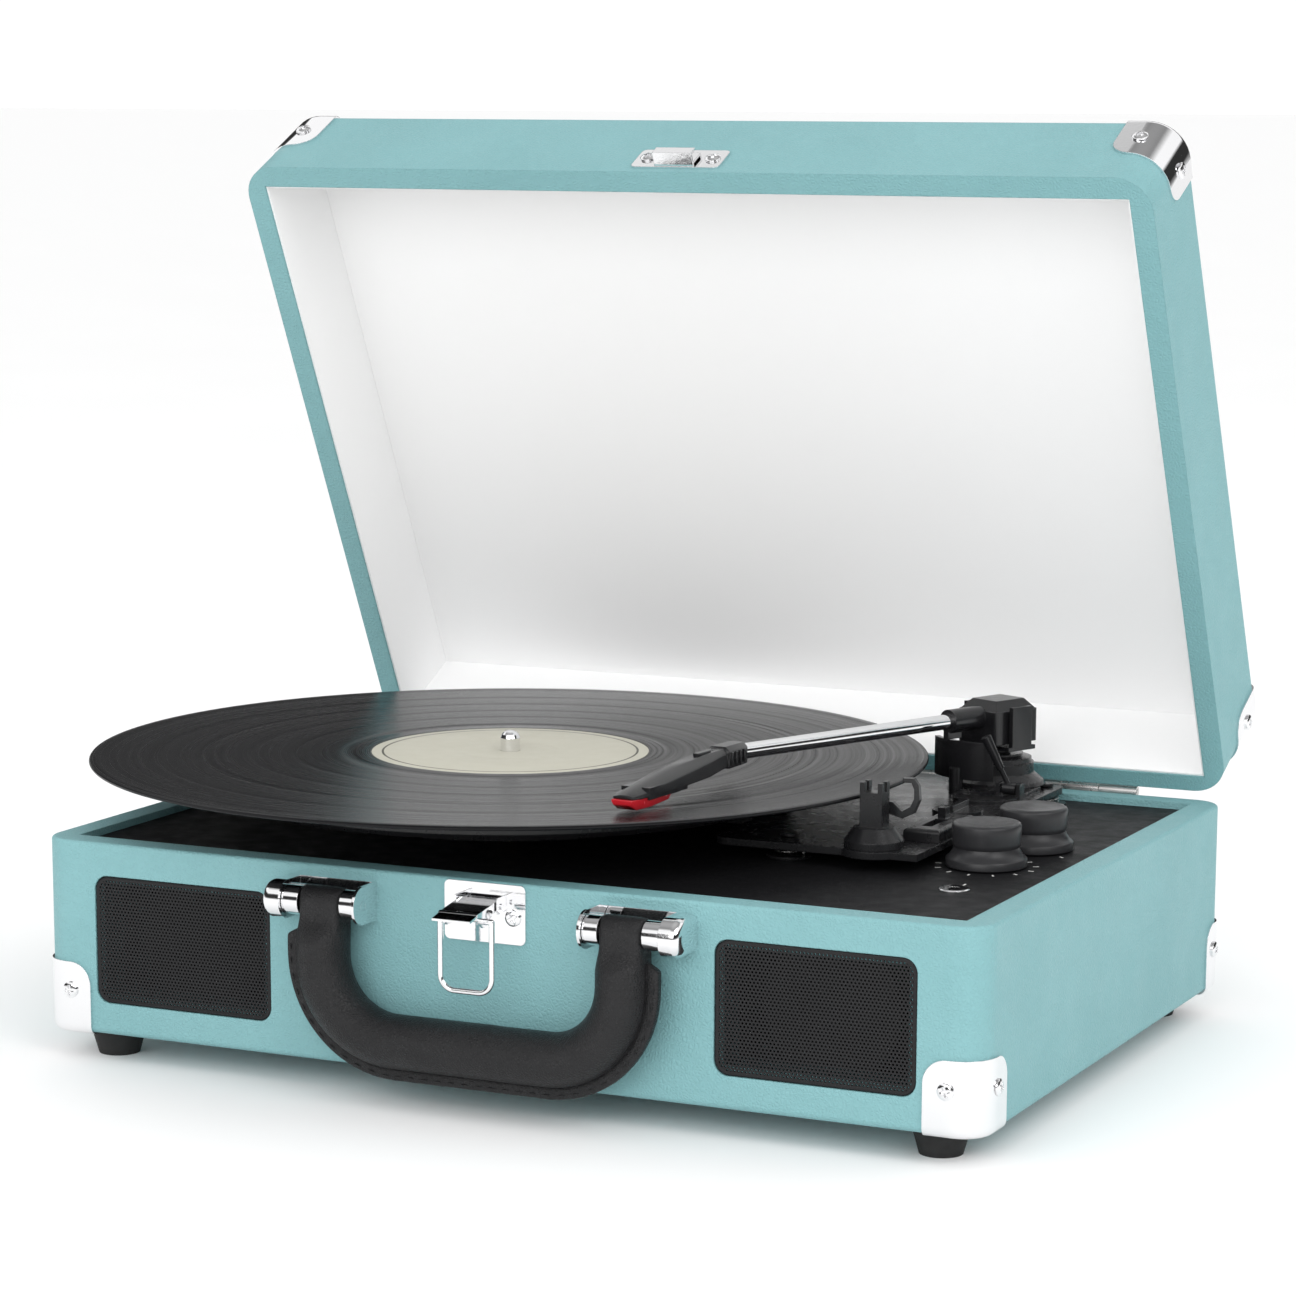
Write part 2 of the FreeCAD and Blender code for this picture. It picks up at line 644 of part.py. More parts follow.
def make_grille(side, label):
    """A perforated plate. Its holes are cut from the face before it is thickened."""
    half_width = number_of(dim("grille_width")) / 2
    half_height = number_of(dim("grille_height")) / 2
    radius = number_of(dim("grille_hole_radius"))
    pitch = number_of(dim("grille_pitch"))
    margin = radius + 2.4
    corner = number_of(dim("grille_corner"))
    outer = Part.makePlane(2 * half_width, 2 * half_height, Vector(-half_width, -half_height, 0))
    solid = outer.extrude(Vector(0, 0, number_of(dim("grille_thickness"))))
    solid = solid.makeFillet(corner, [edge for edge in solid.Edges if runs_along(edge, UP)])
    face = max((item for item in solid.Faces if abs(item.CenterOfMass.z) < 1e-6), key=lambda item: item.Area)
    wires = [face.OuterWire]
    row_step = pitch * math.sqrt(3) / 2
    rows = int((half_height - margin) / row_step)
    for row in range(-rows, rows + 1):
        shift = pitch / 2 if row % 2 else 0
        columns = int((half_width - margin - shift) / pitch)
        for column in range(-columns - (1 if shift else 0), columns + 1):
            u = column * pitch + shift
            v = row * row_step
            in_corner = abs(u) > half_width - corner and abs(v) > half_height - corner
            if abs(u) > half_width - margin or in_corner:
                continue
            wires.append(Part.Wire(Part.makeCircle(radius, Vector(u, v, 0))))
    sheet_face = Part.Face(wires, "Part::FaceMakerBullseye")
    obj = doc.addObject("Part::Feature", f"{label}_plate")
    obj.Shape = sheet_face.extrude(Vector(0, 0, number_of(dim("grille_thickness"))))
    move(obj, side * dim("grille_x"), FRONT + 1.25, dim("grille_z"), 90, Vector(1, 0, 0))
    finish(label, obj)


def make_speaker(side, label):
    """A small loudspeaker: flange, basket and magnet, on the inside of the front wall."""
    body = turned(f"{label}_basket", [(0, 4), (8, 4), (21, 0), (24, 0), (24, 2), (15, 14), (14, 14),
                                      (14, 24), (0, 24)])
    back_wall = FRONT + dim("wall") + dim("deck_ledge")
    move(body, side * dim("grille_x"), back_wall, dim("grille_z"), -90, Vector(1, 0, 0))
    finish(label, body)


# ---------------------------------------------------------------- mechanism

def make_chassis():
    """The floating plate that carries platter and tonearm, with the raised land round the arm."""
    thickness = dim("chassis_thickness")
    disc = rod("chassis_disc", PLATTER_X, PLATTER_Y, CHASSIS_BOTTOM, 72, thickness)
    back_plate = block("chassis_back", PLATTER_X, -5, CHASSIS_BOTTOM, 172.0, 113, thickness)
    front_plate = block("chassis_front", 44, CHASSIS_FRONT, CHASSIS_BOTTOM, 75.5, 60, thickness)
    rest_boss = rod("chassis_boss", dim("rest_x"), dim("rest_y"), CHASSIS_BOTTOM, 11.5, thickness)
    front = number_of(CHASSIS_FRONT)
    plate = fuse("chassis_plate", [disc, back_plate, front_plate, rest_boss])

    def free_corner(edge):
        middle = edge.BoundBox.Center
        right_back = abs(middle.x - 119.5) < 0.1 and abs(middle.y - 108) < 0.1
        left_front = abs(middle.x - 44) < 0.1 and abs(middle.y - front) < 0.1
        return runs_along(edge, UP) and (right_back or left_front)

    land = [rod("land_arm", dim("arm_x"), dim("arm_y") - 3, CHASSIS_TOP, 15, 1.5),
            rod("land_lever", 103, 66, CHASSIS_TOP, 12, 1.5),
            block("land_middle", 91, 66, CHASSIS_TOP, 24, 26, 1.5)]
    whole = fuse("chassis_whole", [rounded("chassis_rounded", plate, free_corner, 6)] + land + lever_ears())
    holes = [rod("chassis_bearing_hole", PLATTER_X, PLATTER_Y, CHASSIS_BOTTOM - 1, BUSH_RADIUS, 6),
             rod("chassis_shaft_hole", MOTOR_X, MOTOR_Y, CHASSIS_BOTTOM - 1, 4, 6),
             rod("chassis_arm_hole", dim("arm_x"), dim("arm_y"), CHASSIS_BOTTOM - 1, 6.6, 9),
             rod("chassis_selector_hole", SELECTOR_X, SELECTOR_Y, CHASSIS_BOTTOM - 1, 2 + GAP, 9),
             rod("chassis_lifter_hole", LIFTER_X, LIFTER_Y, CHASSIS_BOTTOM - 1, 2.6 + GAP, 9)]
    for x, y in MOUNT_PLACES:
        holes.append(rod(f"chassis_mount_hole_{x}", x, y, CHASSIS_BOTTOM - 1, 1.6, 6))
    finish("mechanism_chassis", cut("chassis_drilled", whole, holes))


CHASSIS_FRONT = -42.5
BUSH_RADIUS = 6.5
SELECTOR_X = 106.0
SELECTOR_Y = 31.0
MOUNT_PLACES = [(68.0, -30.0), (113.0, 102.0), (-40.0, 100.0)]
LIFTER_HEADING = math.radians(250)
LIFTER_REACH = 22.9
LIFTER_X = dim("arm_x") + LIFTER_REACH * math.cos(LIFTER_HEADING)
LIFTER_Y = dim("arm_y") + LIFTER_REACH * math.sin(LIFTER_HEADING)


def make_suspension():
    """Three spring mounts: a cup with a centre screw on the deck, and a coil spring under the chassis."""
    cups = []
    springs = []
    for index, (x, y) in enumerate(MOUNT_PLACES):
        cup = rod(f"mount_cup_{index}", x, y, DECK_TOP, 8, 1)
        stem_length = dim("chassis_gap") + dim("chassis_thickness") + 1
        stem = rod(f"mount_stem_{index}", x, y, DECK_TOP, 1.4, stem_length)
        top = rod(f"mount_top_{index}", x, y, CHASSIS_TOP + 0.3, 3.2, 1)
        cups.append(fuse(f"mount_{index}", [cup, stem, top]))
        helix = doc.addObject("Part::Helix", f"spring_line_{index}")
        helix.Pitch = 1.15
        helix.Height = 2.3
        helix.Radius = 5
        helix.SegmentLength = 1
        move(helix, x, y, DECK_TOP + 1.5)
        wire = doc.addObject("Part::Circle", f"spring_wire_{index}")
        wire.Radius = 0.4
        move(wire, x + 5, y, DECK_TOP + 1.5, 90, RIGHT)
        coil = doc.addObject("Part::Sweep", f"spring_{index}")
        coil.Sections = [wire]
        coil.Spine = (helix, ["Edge1", "Edge2"])
        coil.Solid = True
        coil.Frenet = True
        springs.append(coil)
    finish("suspension_mounts", compound("mounts", cups))
    finish("suspension_springs", compound("springs", springs))


def make_platter():
    radius = dim("platter_radius")
    spindle = dim("spindle_radius")
    ring = dim("drive_ring_radius")
    hub_bottom = CHASSIS_TOP + 1.6
    top = PLATTER_TOP
    finish("platter", turned("platter_disc", [
        (spindle, hub_bottom), (12, hub_bottom), (12, top - 7), (ring - 4, top - 7),
        (ring - 4, hub_bottom + 0.6), (ring, hub_bottom + 0.6), (ring, top - 7),
        (radius - 4, top - 7), (radius - 4, top - 10.7),
        (radius - 1, top - 10.7), (radius, top - 9), (radius, top - 1), (radius - 1, top), (spindle, top),
    ], PLATTER_X, PLATTER_Y))
    finish("slip_mat", turned("mat_disc", [
        (spindle + 0.2, top), (radius - 2, top), (radius - 2, RECORD_BOTTOM), (spindle + 0.2, RECORD_BOTTOM),
    ], PLATTER_X, PLATTER_Y))
    tip = dim("record_top") + dim("spindle_proud")
    finish("spindle", turned("spindle_pin", [
        (0, DECK_BOTTOM), (spindle, DECK_BOTTOM), (spindle, tip - 2.6), (spindle - 0.45, tip - 1.3),
        (spindle - 1.3, tip - 0.4), (spindle - 2.4, tip), (0, tip),
    ], PLATTER_X, PLATTER_Y))
    edge = dim("record_radius")
    label = dim("label_radius")
    record_top = dim("record_top")
    hole = spindle + 0.1
    finish("record", turned("record_disc", [
        (hole, RECORD_BOTTOM + 0.1), (label, RECORD_BOTTOM + 0.1), (label, RECORD_BOTTOM),
        (edge - 0.8, RECORD_BOTTOM), (edge, RECORD_BOTTOM + 0.5), (edge, record_top - 0.5),
        (edge - 0.8, record_top),
        (label, record_top), (label, record_top - 0.1), (hole, record_top - 0.1),
    ], PLATTER_X, PLATTER_Y))
    upper = turned("label_upper", [(hole, record_top - 0.1), (label, record_top - 0.1), (label, record_top),
                                   (hole, record_top)], PLATTER_X, PLATTER_Y)
    lower = turned("label_lower", [(hole, RECORD_BOTTOM), (label, RECORD_BOTTOM), (label, RECORD_BOTTOM + 0.1),
                                   (hole, RECORD_BOTTOM + 0.1)], PLATTER_X, PLATTER_Y)
    finish("record_labels", compound("labels", [upper, lower]))
    bore = spindle + GAP
    finish("platter_bearing", turned("bearing_bush", [
        (bore, DECK_BOTTOM + 1), (BUSH_RADIUS, DECK_BOTTOM + 1), (BUSH_RADIUS, CHASSIS_TOP), (10, CHASSIS_TOP),
        (10, CHASSIS_TOP + 1.5), (bore, CHASSIS_TOP + 1.5),
    ], PLATTER_X, PLATTER_Y))


def make_drive():
    """The motor under the chassis, its pulley, and the belt round pulley and drive ring."""
    finish("motor", turned("motor_can", [
        (1.2 + GAP, CHASSIS_BOTTOM - 28), (17, CHASSIS_BOTTOM - 28), (17, CHASSIS_BOTTOM),
        (3.5, CHASSIS_BOTTOM), (3.5, CHASSIS_BOTTOM + 1.5), (1.2 + GAP, CHASSIS_BOTTOM + 1.5),
    ], MOTOR_X, MOTOR_Y))
    pulley = dim("pulley_radius")
    low = CHASSIS_TOP + 2.2
    finish("motor_pulley", turned("pulley_wheel", [
        (0, CHASSIS_BOTTOM - 26), (1.2, CHASSIS_BOTTOM - 26), (1.2, low), (pulley + 0.8, low),
        (pulley + 0.8, low + 0.8), (pulley, low + 0.8), (pulley, low + 4.2), (pulley + 0.8, low + 4.2),
        (pulley + 0.8, low + 5), (0, low + 5),
    ], MOTOR_X, MOTOR_Y))
    finish("drive_belt", belt_loop("belt", low + 1.2, 2.6))


def belt_loop(name, z, height):
    """A flat belt: the hull of two circles, less the same hull one belt thickness smaller."""
    reach = number_of(dim("motor_reach"))
    big = number_of(dim("drive_ring_radius")) + 0.05
    small = number_of(dim("pulley_radius")) + 0.05
    lean = math.acos((big - small) / reach)

    def hull(grow):
        large = big + grow
        little = small + grow
        points = [Vector(large * math.cos(lean), large * math.sin(lean), 0),
                  Vector(reach + little * math.cos(lean), little * math.sin(lean), 0)]
        mirrored = [Vector(point.x, -point.y, 0) for point in points]
        edges = [Part.makeLine(points[0], points[1]),
                 Part.Arc(points[1], Vector(reach + little, 0, 0), mirrored[1]).toShape(),
                 Part.makeLine(mirrored[1], mirrored[0]),
                 Part.Arc(mirrored[0], Vector(-large, 0, 0), points[0]).toShape()]
        return Part.Face(Part.Wire(edges))

    ring = hull(0.7).cut(hull(0)).Faces[0]
    obj = doc.addObject("Part::Feature", name)
    obj.Shape = ring.extrude(Vector(0, 0, height))
    return move(obj, PLATTER_X, PLATTER_Y, z, DIMENSIONS["motor_heading"])


# ---------------------------------------------------------------- tonearm

def make_pedestal():
    top = CHASSIS_TOP + 1.5
    bore = 5 + GAP
    finish("tonearm_pedestal", turned("pedestal_rings", [
        (bore, CHASSIS_BOTTOM - 6), (6.5, CHASSIS_BOTTOM - 6), (6.5, top), (18, top), (17.2, top + 1.4),
        (14.8, top + 3.2), (13.5, top + 4.2), (13.5, top + 8), (12.6, top + 8), (12.6, top + 9.8),
        (9.5, top + 10.6), (9.5, top + 11.3), (bore, top + 11.3),
    ], dim("arm_x"), dim("arm_y")))


YOKE_EAR = 10.6
BLOCK_HALF = 9.8
PIVOT_PIN = 1.0


def make_tonearm():
    axis = dim("arm_axis_z")
    bottom = axis - 11.8
    post = rod("yoke_post", 0, 0, CHASSIS_BOTTOM - 7, 5, bottom + 1 - CHASSIS_BOTTOM + 7)
    saddle = centred("yoke_saddle", 0, 0, bottom, 14, 2 * YOKE_EAR + 3.6, 1.5)
    pieces = [post, saddle]
    for side in (-1, 1):
        ear_y = side * (YOKE_EAR + 0.9)
        pieces.append(centred(f"yoke_ear_{side}", 0, ear_y, bottom, 10, 1.8, 16))
        start = YOKE_EAR if side > 0 else -YOKE_EAR - 0.9
        pin_start = start - 4 if side > 0 else start + 0.9
        pieces.append(rod(f"yoke_pin_{side}", 0, pin_start, axis, PIVOT_PIN, 4.0, "y"))
    finish("tonearm_yoke", fuse("yoke", pieces), "arm")

    low = axis - 9.4
    lower = centred("block_lower", 0, 0, low, 22, 2 * BLOCK_HALF, 12)
    skirt = rounded("block_soft", lower, lambda edge: runs_along(edge, UP), 1.5)
    cap = doc.addObject("Part::Wedge", "block_cap")
    for prop, value in (("Xmin", -10.2), ("Xmax", 10.2), ("Zmin", -9), ("Zmax", 9), ("Ymin", 0), ("Ymax", 3.6),
                        ("X2min", -7.2), ("X2max", 7.2), ("Z2min", -6), ("Z2max", 6)):
        setattr(cap, prop, value)
    move(cap, 0, 0, low + 12, 90, RIGHT)
    socket = rod("block_socket", 10, 0, axis, 4.3, 16, "x")
    finger = block("block_finger", 20, -1.2, axis - 6.4, 7, 2.4, 4)
    whole = fuse("block_whole", [skirt, cap, socket, finger])
    holes = [rod("block_tube_bore", 4, 0, axis, dim("tube_radius"), 30, "x"),
             rod("block_pin_bore", 0, -BLOCK_HALF - 1, axis, PIVOT_PIN + GAP, 2 * BLOCK_HALF + 2, "y")]
    finish("arm_block", cut("block_drilled", whole, holes), "arm")

    tube = rod("tube_outer", 4, 0, axis, dim("tube_radius"), dim("tube_end") - 4, "x")
    hollow = rod("tube_inner", 3, 0, axis, dim("tube_radius") - 0.5, dim("tube_end") + 4, "x")
    pin_slot = rod("tube_pin_slot", 0, -20, axis, 2, 40, "y")
    finish("arm_tube", cut("tube_hollow", tube, [hollow, pin_slot]), "arm")
    make_head()


HEAD_TOP = [(0, 3.7), (12, 3.9), (50, 1.6), (70, -1.4), (78, -3.2)]
HEAD_BOTTOM = [(78, -4.2), (70, -4.8), (46, -4.8), (30, -4.4), (12, -3.6), (0, -3.4)]
HEAD_PLAN = [(0, 3.6), (10, 4.6), (28, 7.5), (66, 7.5), (78, 5.2)]
NECK_START = 124.3


def head_prism(name, points, width):
    """A prism across the head, from its side outline of (reach, height over the tube's line)."""
    body = new_body(name)
    sketch = plane_sketch(body, f"{name}_side", "XZ_Plane", -width / 2)
    outline(sketch, [(u, dim("arm_axis_z") + v) for u, v in points])
    pad(body, sketch, width)
    return body


def on_head(obj):
    """Puts a head piece at the end of the tube, turned by the head's offset angle."""
    return move(obj, dim("tube_end"), 0, 0, dim("head_offset"))


def make_head():
    axis = dim("arm_axis_z")
    side = head_prism("head_side", HEAD_TOP + HEAD_BOTTOM, 20.0)
    plan = plate_body("head_plan", axis - 10, 20, lambda sketch: outline(
        sketch, HEAD_PLAN + [(u, -v) for u, v in reversed(HEAD_PLAN)]))
    head = common("head_form", [side, plan])
    pocket_box = centred("head_pocket", 57, 0, axis - 8, 26, 11, 6.5)
    shell = on_head(cut("head_shell", head, [pocket_box]))
    neck = rod("head_neck", NECK_START, 0, axis, 3.6, 9, "x")
    bore_length = dim("tube_end") - NECK_START + 1
    bore = rod("head_bore", NECK_START - 1, 0, axis, dim("tube_radius"), bore_length, "x")
    finish("headshell", cut("head_bored", fuse("head_joined", [shell, neck]), [bore]), "arm")

    box = centred("cartridge_box", 57, 0, axis - 5.6, 25.8, 10.8, 4.0)
    tail = centred("cartridge_tail", 57, 0, axis - 6.2, 20, 8, 1.0)
    cartridge = on_head(fuse("cartridge_form", [box, tail]))
    finish("cartridge", compound("cartridge_placed", [cartridge]), "arm")

    grip = head_prism("stylus_grip", STYLUS_SIDE, 9.0)
    tip_base = dim("record_top") + 0.1
    tip = cone("stylus_cone", dim("stylus_reach"), 0, tip_base, 0.15, 0.9, axis - 7 - tip_base)
    stylus = on_head(fuse("stylus_form", [grip, tip]))
    finish("stylus_holder", compound("stylus_placed", [stylus]), "arm")


STYLUS_SIDE = [(50, -6.3), (52, -7.6), (66, -8.4), (77, -7.4), (79, -5.0), (70.5, -5.0), (70.1, -6.3)]


def make_lifter():
    """The curved lifting wall under the tube, on its guide stem, and the cue lever."""
    inner = rod("lifter_inner", dim("arm_x"), dim("arm_y"), 80, 22, 40)
    outer = rod("lifter_outer", dim("arm_x"), dim("arm_y"), CHASSIS_TOP + 5.5, 23.8, 14)
    outer.Angle = 70
    outer.Placement = Placement(outer.Placement.Base, Rotation(UP, 217))
    bind(outer, "Placement.Base.x", dim("arm_x"))
    bind(outer, "Placement.Base.y", dim("arm_y"))
    bind(outer, "Placement.Base.z", CHASSIS_TOP + 5.5)
    wall = cut("lifter_wall", outer, [inner])
    stem = rod("lifter_stem", LIFTER_X, LIFTER_Y, CHASSIS_BOTTOM - 4, 2.6, 16)
    finish("arm_lifter", fuse("lifter", [wall, stem]))

    hub = rod("lever_hub", LEVER_X - 2.5, LEVER_Y, LEVER_Z, 2.2, 5, "x")
    stick = rod("lever_stick", 0, 0, 0, 0.9, 9)
    grip = cone("lever_grip", 0, 0, 8, 1.4, 2.0, 13)
    shaft = fuse("lever_shaft", [stick, grip])
    lean = Rotation(UP, Vector(-8.5, -4.0, 19.5))
    shaft.Placement = Placement(Vector(LEVER_X, LEVER_Y, number_of(LEVER_Z)), lean)
    lever = fuse("lever_whole", [hub, shaft])
    bore = rod("lever_bore", LEVER_X - 4, LEVER_Y, LEVER_Z, 1 + GAP, 8, "x")
    finish("cue_lever", cut("lever_bored", lever, [bore]))


def lever_ears():
    """The two ears and the pin that the cue lever tips on."""
    pieces = [rod("lever_pin", LEVER_X - 4.6, LEVER_Y, LEVER_Z, 1, 9.2, "x")]
    for side in (-1, 1):
        pieces.append(centred(f"lever_ear_{side}", LEVER_X + side * 3.8, LEVER_Y, CHASSIS_TOP, 1.6, 5, 6))
    return pieces


LEVER_X = 111.0
LEVER_Y = 70.5
LEVER_Z = CHASSIS_TOP + 4


def make_rest():
    """The arm rest: a flared foot, a post with a cradle of two prongs, and the pin for its clip."""
    x, y, top = dim("rest_x"), dim("rest_y"), dim("rest_top")
    flare = turned("rest_flare", [(0, CHASSIS_TOP), (10.2, CHASSIS_TOP), (10.2, CHASSIS_TOP + 2.6),
                                  (7, CHASSIS_TOP + 7), (0, CHASSIS_TOP + 7)], x, y)
    post = centred("rest_post", x, y, CHASSIS_TOP + 6, 8, 7, top - CHASSIS_TOP - 6)
    pin = rod("rest_pin", x + 3.2, y + 3.0, top - 9, 1.0, 3.2, "y")
    whole = fuse("rest_whole", [flare, post, pin])
    cradle = centred("rest_cradle", x, y, top - 3.4, 5, 9, 6)
    slot = centred("rest_slot", x, y, top - 3.4, 9, 2.2, 6)
    finish("arm_rest", cut("rest_cut", whole, [cradle, slot]))

    clip = new_body("clip_plate")
    sketch = plane_sketch(clip, "clip_outline", "XZ_Plane", -(y + 3.7) - 2)
    pin_x, pin_z = x + 3.2, top - 9
    hook = [(-1.8, -1.8), (5.5, -3.6), (9.6, -1.6), (11.6, 3), (11.2, 8), (9.4, 10.4), (5.4, 10.2),
            (5.4, 8.8), (8.6, 8.8), (9.6, 6.6), (9.6, 3.4), (8.2, 0.6), (5.2, -1.2), (1.8, 1.8), (-1.8, 1.8)]
    outline(sketch, [(pin_x + u, pin_z + v) for u, v in hook])
    circle(sketch, pin_x, pin_z, 1 + GAP)
    pad(clip, sketch, 2)
    finish("arm_clip", clip)


def make_switches():
    """The auto-stop housing with its slider, and the speed selector."""
    base = block("stop_box", 106, -21, CHASSIS_TOP, 13.2, 34, 4.6)
    housing = rounded("stop_box_soft", base, lambda edge: level(edge, number_of(CHASSIS_TOP) + 4.6), 1.6)
    slot = block("stop_slot", 110, -15, CHASSIS_TOP + 1.6, 4, 22, 6)
    finish("autostop_housing", cut("stop_housing", housing, [slot]))
    rider = block("stop_rider", 110.1, -2, CHASSIS_TOP + 1.7, 3.8, 7, 3.2)
    tab = block("stop_tab", 110.6, -0.5, CHASSIS_TOP + 4.6, 2.8, 4, 4)
    finish("autostop_slider", fuse("stop_slider", [rider, tab]))
    disc = rod("selector_disc", SELECTOR_X, SELECTOR_Y, CHASSIS_TOP + 0.2, 9, 2.4)
    stem = rod("selector_stem", SELECTOR_X, SELECTOR_Y, CHASSIS_BOTTOM - 3, 2, 7)
    tab = block("selector_tab", SELECTOR_X - 1.2, SELECTOR_Y - 8, CHASSIS_TOP + 1.5, 2.4, 16, 3.4)
    finish("speed_selector", fuse("selector", [disc, stem, tab]))


# ---------------------------------------------------------------- knobs and electrics

def make_knob(label, x, y):
    low = DECK_TOP + 0.4
    radius, skirt = dim("knob_radius"), dim("knob_skirt")
    top = low + dim("knob_height")
    body = turned(f"{label}_turned", [
        (0, DECK_BOTTOM - 8), (3, DECK_BOTTOM - 8), (3, low), (skirt, low), (skirt, low + 3.2),
        (radius - 0.4, low + 6), (radius - 0.2, low + 7), (radius, top - 0.6), (radius - 0.7, top), (0, top),
    ], x, y)
    mark = centred(f"{label}_mark", x, y - skirt + 1.2, low + 1.5, 0.9, 4, 8)
    finish(label, cut(f"{label}_marked", body, [mark]))


def make_controls():
    places = {"volume": (dim("volume_x"), dim("volume_y")), "function": (dim("function_x"), dim("function_y"))}
    for name, (x, y) in places.items():
        make_knob(f"{name}_knob", x, y)
        housing = centred(f"{name}_housing", x, y, DECK_BOTTOM - 10, 17, 17, 9)
        collar = rod(f"{name}_collar", x, y, DECK_BOTTOM - 2, 4.6, 2)
        bore = rod(f"{name}_bore", x, y, DECK_BOTTOM - 8 - GAP, 3 + GAP, 30)
        label = "volume_control" if name == "volume" else "function_switch"
        finish(label, cut(f"{name}_drilled", fuse(f"{name}_body", [housing, collar]), [bore]))


def make_sockets():
    finish("headphone_socket", turned("jack_barrel", [
        (1.8, DECK_BOTTOM - 10), (4, DECK_BOTTOM - 10), (4, DECK_TOP), (5.4, DECK_TOP),
        (5.4, DECK_TOP + 0.5), (5, DECK_TOP + 0.8), (1.8, DECK_TOP + 0.8),
    ], JACK_X, JACK_Y))
    plate = centred("panel_plate", PANEL_X, HALF_DEPTH - 0.75, PANEL_Z - PANEL_HEIGHT / 2, PANEL_WIDTH, 1.5,
                    PANEL_HEIGHT)
    holes = []
    barrels = []
    for index, (shift, radius, bore, length) in enumerate(SOCKETS):
        x = PANEL_X + shift
        holes.append(rod(f"panel_hole_{index}", x, HALF_DEPTH - 4, PANEL_Z, radius + HOLE_GAP, 8, "y"))
        barrel = rod(f"socket_barrel_{index}", x, HALF_DEPTH - 14, PANEL_Z, radius, length, "y")
        hollow = rod(f"socket_bore_{index}", x, HALF_DEPTH - 11, PANEL_Z, bore, 20, "y")
        barrels.append(cut(f"socket_{index}", barrel, [hollow]))
    finish("rear_panel", cut("panel_drilled", plate, holes))
    finish("rear_sockets", compound("sockets", barrels))


# Place along the panel, barrel radius, bore radius and barrel length of each socket.
SOCKETS = [(-26, 4.2, 1.6, 16), (-10, 4.2, 1.6, 16), (8, 3.4, 1.8, 14.4), (26, 4.2, 2.75, 14.4)]


def make_electronics():
    floor_top = CASE_BOTTOM + dim("floor_thickness")
    board = block("board_plate", 10, -40, floor_top + 6, 110, 80, 1.6)
    feet = [rod(f"board_stand_{x}_{y}", x, y, floor_top, 3, 6) for x in (16, 114) for y in (-34, 34)]
    soldered = [block("board_chip", 40, -10, floor_top + 7.6, 16, 10, 2.4),
                block("board_heatsink", 80, 5, floor_top + 7.6, 24, 10, 16),
                rod("board_capacitor_a", 30, 24, floor_top + 7.6, 6, 14),
                rod("board_capacitor_b", 60, 24, floor_top + 7.6, 5, 12)]
    finish("circuit_board", fuse("board", [board] + feet + soldered))
    cables = []
    for side in (-1, 1):
        start = Vector(12 if side < 0 else 118, -42, number_of(floor_top) + 5)
        end = Vector(side * number_of(dim("grille_x")) - side * 24.5, -98, number_of(floor_top) + 8)
        bend = Vector((start.x + end.x) / 2, -80, number_of(floor_top) + 5.5)
        curve = Part.BSplineCurve()
        curve.interpolate([start, bend, end])
        spine = Part.Wire([curve.toShape()])
        section = Part.Wire(Part.makeCircle(1.2, start, curve.tangent(curve.FirstParameter)[0]))
        cables.append(spine.makePipeShell([section], True, True))
    obj = doc.addObject("Part::Feature", "cable_pair")
    obj.Shape = Part.makeCompound(cables)
    finish("speaker_cables", obj)


# ---------------------------------------------------------------- latch and handle

def make_latch():
    pin_y, pin_z = dim("latch_pin_y"), dim("latch_pin_z")
    plate = block("latch_back", -15, FRONT - 0.8, pin_z - 13.5, 30, 0.8, 20)
    soft = rounded("latch_back_soft", plate, lambda edge: runs_along(edge, BACK), 2)
    reach = FRONT - 0.4 - pin_y + 2.2
    ears = [block(f"latch_ear_{side}", side * 7.7 - 0.3, pin_y - 2.2, pin_z - 2.5, 0.6, reach, 5.5)
            for side in (-1, 1)]
    holes = [base_screws.hole_group("latch_plate_holes"),
             rod("latch_pin_hole", -10, pin_y, pin_z, 0.8 + GAP, 20, "x")]
    finish("latch_plate", cut("latch_drilled", fuse("latch_folded", [soft] + ears), holes))
    finish("latch_pin", rod("latch_rod", -8.4, pin_y, pin_z, 0.8, 16.8, "x"))

    top = side_prism("lever_top", [
        (pin_y + 1.2, pin_z + 1.0), (pin_y, pin_z + 1.9), (pin_y - 12, pin_z + 0.2),
        (pin_y - 20, pin_z - 1.6), (pin_y - 20, pin_z - 2.4), (pin_y - 12, pin_z - 0.7),
        (pin_y, pin_z + 1.0)], 0, 14.0)
    walls = [side_prism(f"lever_wall_{side}", [
        (pin_y + 0.2, pin_z + 1.4), (pin_y - 12, pin_z - 0.3), (pin_y - 13.5, pin_z - 3.2),
        (pin_y - 10.8, pin_z - 5.4), (pin_y - 8, pin_z - 5.4), (pin_y - 4, pin_z - 2),
        (pin_y + 1.2, pin_z - 1.6), (pin_y + 1.2, pin_z + 0.8)], side * 6.6, 0.8)
        for side in (-1, 1)]
    roll = rod("lever_roll", -7.2, pin_y - 14, pin_z - 1.4, 1.5, 14.4, "x")
    lever = fuse("latch_lever_whole", [top, roll] + walls)
    bores = [rod("lever_pin_bore", -10, pin_y, pin_z, 0.8 + GAP, 20, "x"),
             rod("lever_bail_bore", -10, dim("bail_y"), dim("bail_z"), 1 + GAP, 20, "x")]
    finish("latch_lever", cut("latch_lever_bored", lever, bores))
    make_bail()
    make_catch()


